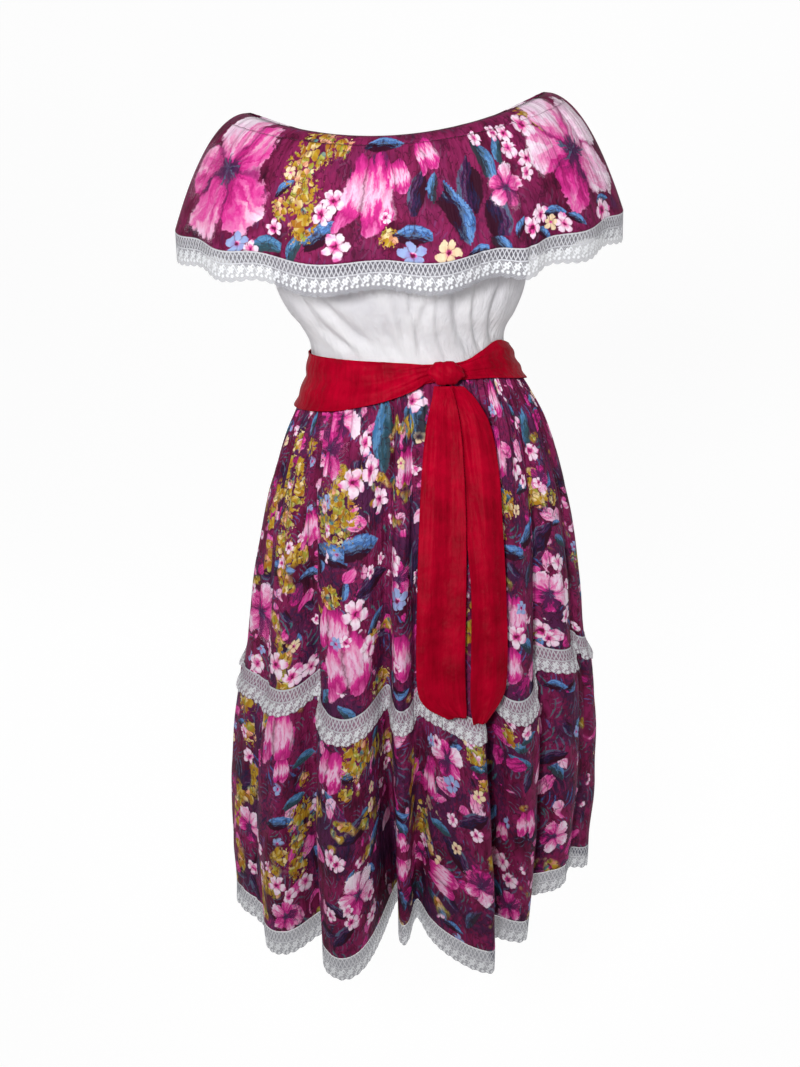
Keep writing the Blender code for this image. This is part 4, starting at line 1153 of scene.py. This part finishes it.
def all_round(motifs, front_width, width):
    """The chart of a strip that runs round both halves."""
    back = turned(motifs, 1, width)
    return {layer: list(motifs[layer]) + [row for row in back[layer] if row[0] > front_width / MM]
            for layer in LAYERS}


HALVES = (("front", -1), ("back", 1))
FOLDS = {"front": (0, len(FRONT_RIDGES)), "back": (len(FRONT_RIDGES), len(RIDGES))}

# How many steps each sheet has across and down. The lower tier's lie closer together near its seam.
COLUMNS_PER_FOLD = 44
LACE_COLUMNS_PER_FOLD = 80
UPPER_ROWS = 78
LOWER_SEAM_ROWS = 22
LOWER_ROWS = 42
SKIRT_LACE_ROWS = 12
CASING_STEPS = (600, 28)
RUFFLE_STEPS = (320, 44)
RUFFLE_LACE_STEPS = (480, 14)
BODICE_STEPS = (150, 110)
BAND_STEPS = (420, 36)
TAIL_STEPS = (56, 130)
KNOT_STEPS = (72, 40)


def printed_half(node, side, motifs, columns, rows, down, point, measured_at):
    """One half of a printed tier or ruffle, and the flat width of its cloth at the row measured_at."""
    across = run_length(point, columns, measured_at)
    piece, spread = cloth(f"{node}_cloth", columns, rows, point, across, down, side=side)
    lay_print(piece, spread, turned(motifs, side, across[-1]))
    return dress_piece(piece, node, PRINT, COTTON), across[-1]


def lace_half(node, side, material, columns, top, depth, steps, row_length, point, measured_at):
    """One half of a lace trim with its lower edge in scallops, and its flat length.

    top is the row where it starts, and row_length how many metres a step of 1 down the rows is.
    """
    across = run_length(point, columns, measured_at)
    rows_per_metre = 1 / row_length

    def scalloped(column, row):
        round_edge = np.abs(np.sin(math.pi * np.interp(column, columns, across) / SCALLOP)) ** 0.8
        rise = SCALLOP_DIP * (1 - round_edge)
        share = (row - top) / (depth * rows_per_metre)
        return point(column, row - rise * rows_per_metre * np.clip(share, 0, 1) ** 2)

    down = even(0, depth, steps)
    piece, _ = cloth(f"{node}_net", columns, top + down / row_length, scalloped, across, down, side=side)
    return dress_piece(piece, node, material), across[-1]


def hang(_, level):
    """How far the tier lace hangs out from the cloth."""
    return LACE_STAND_OFF + LACE_HANG * smooth((level - LACE_TOP) * LOWER_LENGTH / SKIRT_LACE)


def skirt():
    over_tier = out_from(skirt_point, hang, 0.01, 0.01)
    for half, side in HALVES:
        first, last = FOLDS[half]
        columns = even(first, last, (last - first) * COLUMNS_PER_FOLD)
        rows = even(0, 1, UPPER_ROWS) ** 1.1
        upper, width = printed_half(
            f"upper_tier_{half}", side, UPPER_CHART, columns, rows, rows * UPPER_EASE * UPPER_LENGTH,
            skirt_point, 0.80)

        near_seam = 1 + TIER_SEAM / LOWER_LENGTH + even(0, 0.25, LOWER_SEAM_ROWS)
        rows = np.concatenate([near_seam, 1 + even(0.265, 1, LOWER_ROWS)])
        lower, width = printed_half(
            f"lower_tier_{half}", side, LOWER_CHART, columns, rows, (rows - 1) * LOWER_LENGTH,
            skirt_point, 1.6)

        columns = even(first, last, (last - first) * LACE_COLUMNS_PER_FOLD)
        lace, width = lace_half(
            f"tier_lace_{half}", side, TIER_LACE_WHITE, columns, LACE_TOP, SKIRT_LACE, SKIRT_LACE_ROWS,
            LOWER_LENGTH, over_tier, 1.04)
        lace, width = lace_half(
            f"hem_lace_{half}", side, HEM_LACE_WHITE, columns, 2 + SEAM / LOWER_LENGTH, SKIRT_LACE,
            SKIRT_LACE_ROWS, LOWER_LENGTH, skirt_point, 2.04)


def casing_point(angle, way):
    """A point of the casing: a strip folded over at the neckline. way runs from -1 inside to 1 outside."""
    drop = np.abs(way) * CASING_HEIGHT
    half = CASING_WALL / 2
    over = np.sqrt(np.clip(1 - (1 - np.clip(drop / half, 0, 1)) ** 2, 0, 1)) * half
    inset = half - np.where(way < 0, -over, over)
    x, y, z = neck_cloth(angle, drop)
    turn = np.radians(angle)
    return x - inset * np.sin(turn), y + inset * np.cos(turn), z


def neck():
    columns, ways = even(-90, 270, CASING_STEPS[0]), even(-1, 1, CASING_STEPS[1])
    across = run_length(neck_cloth, columns, CASING_HEIGHT)
    down = (run_length(casing_point, 0, ways) + run_length(casing_point, 90, ways)) / 2
    piece, spread = cloth("neck_casing_cloth", columns, ways, casing_point, across, down, closed=True)
    bottom = CASING_HEIGHT + RUFFLE_DROP
    on_ruffle = run_length(neck_cloth, columns, bottom)
    printed = np.column_stack([np.interp(spread[:, 0], across, on_ruffle), spread[:, 1] - down[-1]])
    lay_print(piece, printed, all_round(RUFFLE_CHART, on_ruffle[len(columns) // 2], on_ruffle[-1]))
    casing = dress_piece(piece, "neck_casing", PRINT)

    top = CASING_HEIGHT + SEAM
    for half, side in HALVES:
        start, end = 90 * side, 90 * side + 180
        columns = even(start, end, RUFFLE_STEPS[0])
        rows = mix(top, bottom, even(0, 1, RUFFLE_STEPS[1]) ** 1.15)
        ruffle, width = printed_half(
            f"ruffle_{half}", side, RUFFLE_CHART, columns, rows, RUFFLE_EASE * (rows - top),
            neck_cloth, bottom)
        columns = even(start, end, RUFFLE_LACE_STEPS[0])
        lace, width = lace_half(
            f"ruffle_lace_{half}", side, LACE_WHITE, columns, bottom + SEAM, RUFFLE_LACE,
            RUFFLE_LACE_STEPS[1], 1.0, neck_cloth, bottom + RUFFLE_LACE / 2)


def bodice():
    for half, side in HALVES:
        face = partial(bodice_point, side)
        columns, rows = even(-1, 1, BODICE_STEPS[0]), even(0, 1, BODICE_STEPS[1])
        across = run_length(face, columns, 0.8)
        piece, _ = cloth(f"bodice_{half}_cloth", columns, rows, face, across, rows * BODICE_RUN)
        panel = dress_piece(piece, f"bodice_{half}", COTTON_WHITE, COTTON)


def sash():
    columns, rows = even(-180, 180, BAND_STEPS[0]), even(0, 1, BAND_STEPS[1])
    across = run_length(sash_point, columns, 0.5)
    band, _ = cloth("sash_band_satin", columns, rows, sash_point, across, rows * SASH_RUN, closed=True)
    band = dress_piece(band, "sash_band", SASH_RED, SATIN)
    for name, edges, creases, phase, tucked, width in (
            ("near", NEAR_TAIL, NEAR_CREASES, 0.15, 0.0, NEAR_TAIL_WIDTH),
            ("far", FAR_TAIL, FAR_CREASES, 0.70, FAR_TAIL_TUCK, FAR_TAIL_WIDTH)):
        face = partial(tail_point, edges, creases, phase, tucked)
        top, bottom = edges[0].down, edges[-1].down
        columns, rows = even(0, 1, TAIL_STEPS[0]), even(top, bottom, TAIL_STEPS[1])
        piece, _ = cloth(f"sash_end_{name}_satin", columns, rows, face, columns * width, rows)
        end = dress_piece(piece, f"sash_end_{name}", SASH_RED, SATIN)
        bottom - top


def knot():
    """The knot: a rounded lump with the sash's turns running over it as grooves."""
    form = bmesh.new()
    bmesh.ops.create_uvsphere(form, u_segments=KNOT_STEPS[0], v_segments=KNOT_STEPS[1], radius=1.0)
    middle_y = float(knot_middle_y())
    for vertex in form.verts:
        x, y, z = vertex.co
        turns = x + 0.6 * z + 0.12 * math.sin(4 * z)
        groove = 1 - KNOT_GROOVE * (1 - math.cos(8 * turns))
        groove -= KNOT_FINE_GROOVE * (1 - math.cos(19 * turns + 2 * z))
        vertex.co = (
            KNOT_X + KNOT_HALF[0] * x * groove,
            middle_y + KNOT_HALF[1] * y * groove,
            KNOT_Z + KNOT_HALF[2] * z * groove)
    lump = new_piece("sash_knot_satin", form)
    mesh = lump.data
    flat = np.array([(vertex.co.x, vertex.co.z) for vertex in mesh.vertices])
    corners = np.array([loop.vertex_index for loop in mesh.loops])
    mesh.uv_layers.new(name="cloth").data.foreach_set("uv", flat[corners].ravel())
    dress_piece(lump, "sash_knot", SASH_RED)


# The studio in metres, its lamps in watts with their spread in degrees, and the camera, whose focal length is
# in the photo's pixels.
FLOOR_Z = -1.33
FLOOR_FRONT = -6.0
FLOOR_BACK = 2.2
FLOOR_WIDTH = 16.0
BEND_RADIUS = 1.6
WALL_PACE = 8.0
LAMPS = table(
    "name place aim_z size spread power",
    ("key", (-0.36, -2.2, 0.32), -0.12, 0.35, 60, 6.0),
    ("left", (-1.9, -1.2, 0.30), -0.30, 0.6, 110, 1.8),
    ("right", (1.9, -1.2, 0.40), -0.35, 0.6, 110, 2.8),
    ("top", (0.3, 0.9, 2.2), -0.45, 1.0, 180, 7),
)
AIR_LIGHT = 0.12
CAMERA_PLACE = (0.004, -2.06, 0.038)
CAMERA_DOWN_DEG = 14.7
SENSOR = 36.0
PHOTO_FOCAL = 1767
PHOTO_HEIGHT = 1067


def studio():
    """A floor that curves up behind and looks pale by a painted glow, soft lights and the camera at the
    photograph's angle.
    """
    form = bmesh.new()
    bmesh.ops.create_grid(form, x_segments=1, y_segments=24, size=0.5)
    for vertex in form.verts:
        share = vertex.co.y + 0.5
        if share < 0.5:
            y, z = mix(FLOOR_FRONT, FLOOR_BACK, share / 0.5), 0.0
        else:
            bend = (share - 0.5) / 0.5 * 1.6
            turn = min(bend, 1.0) * math.pi / 2
            y = FLOOR_BACK + BEND_RADIUS * math.sin(turn)
            z = BEND_RADIUS * (1 - math.cos(turn)) + max(0.0, bend - 1.0) * WALL_PACE
        vertex.co = (vertex.co.x * FLOOR_WIDTH, y, z + FLOOR_Z)
    floor = new_piece("studio_floor", form)
    floor.data.materials.append(glowing_paper())

    world = bpy.data.worlds.new("studio_air")
    world.use_nodes = True
    air = world.node_tree.nodes["Background"].inputs
    air["Color"].default_value = (1.0, 1.0, 1.0, 1.0)
    air["Strength"].default_value = AIR_LIGHT
    scene = bpy.context.scene
    scene.world = world
    scene.view_settings.view_transform = "Standard"
    for row in LAMPS:
        lamp = bpy.data.lights.new(row.name, "AREA")
        lamp.size = row.size
        lamp.spread = math.radians(row.spread)
        lamp.energy = row.power
        light = put(bpy.data.objects.new(row.name, lamp))
        light.location = row.place
        aim = Vector((0, 0, row.aim_z)) - light.location
        light.rotation_euler = aim.to_track_quat("-Z", "Y").to_euler()

    lens = bpy.data.cameras.new("camera")
    lens.sensor_width = SENSOR
    lens.lens = SENSOR * PHOTO_FOCAL / PHOTO_HEIGHT
    camera = put(bpy.data.objects.new("camera", lens))
    camera.location = CAMERA_PLACE
    camera.rotation_euler = (math.radians(90 - CAMERA_DOWN_DEG), 0.0, 0.0)
    scene.camera = camera


studio()
skirt()
neck()
bodice()
sash()
knot()
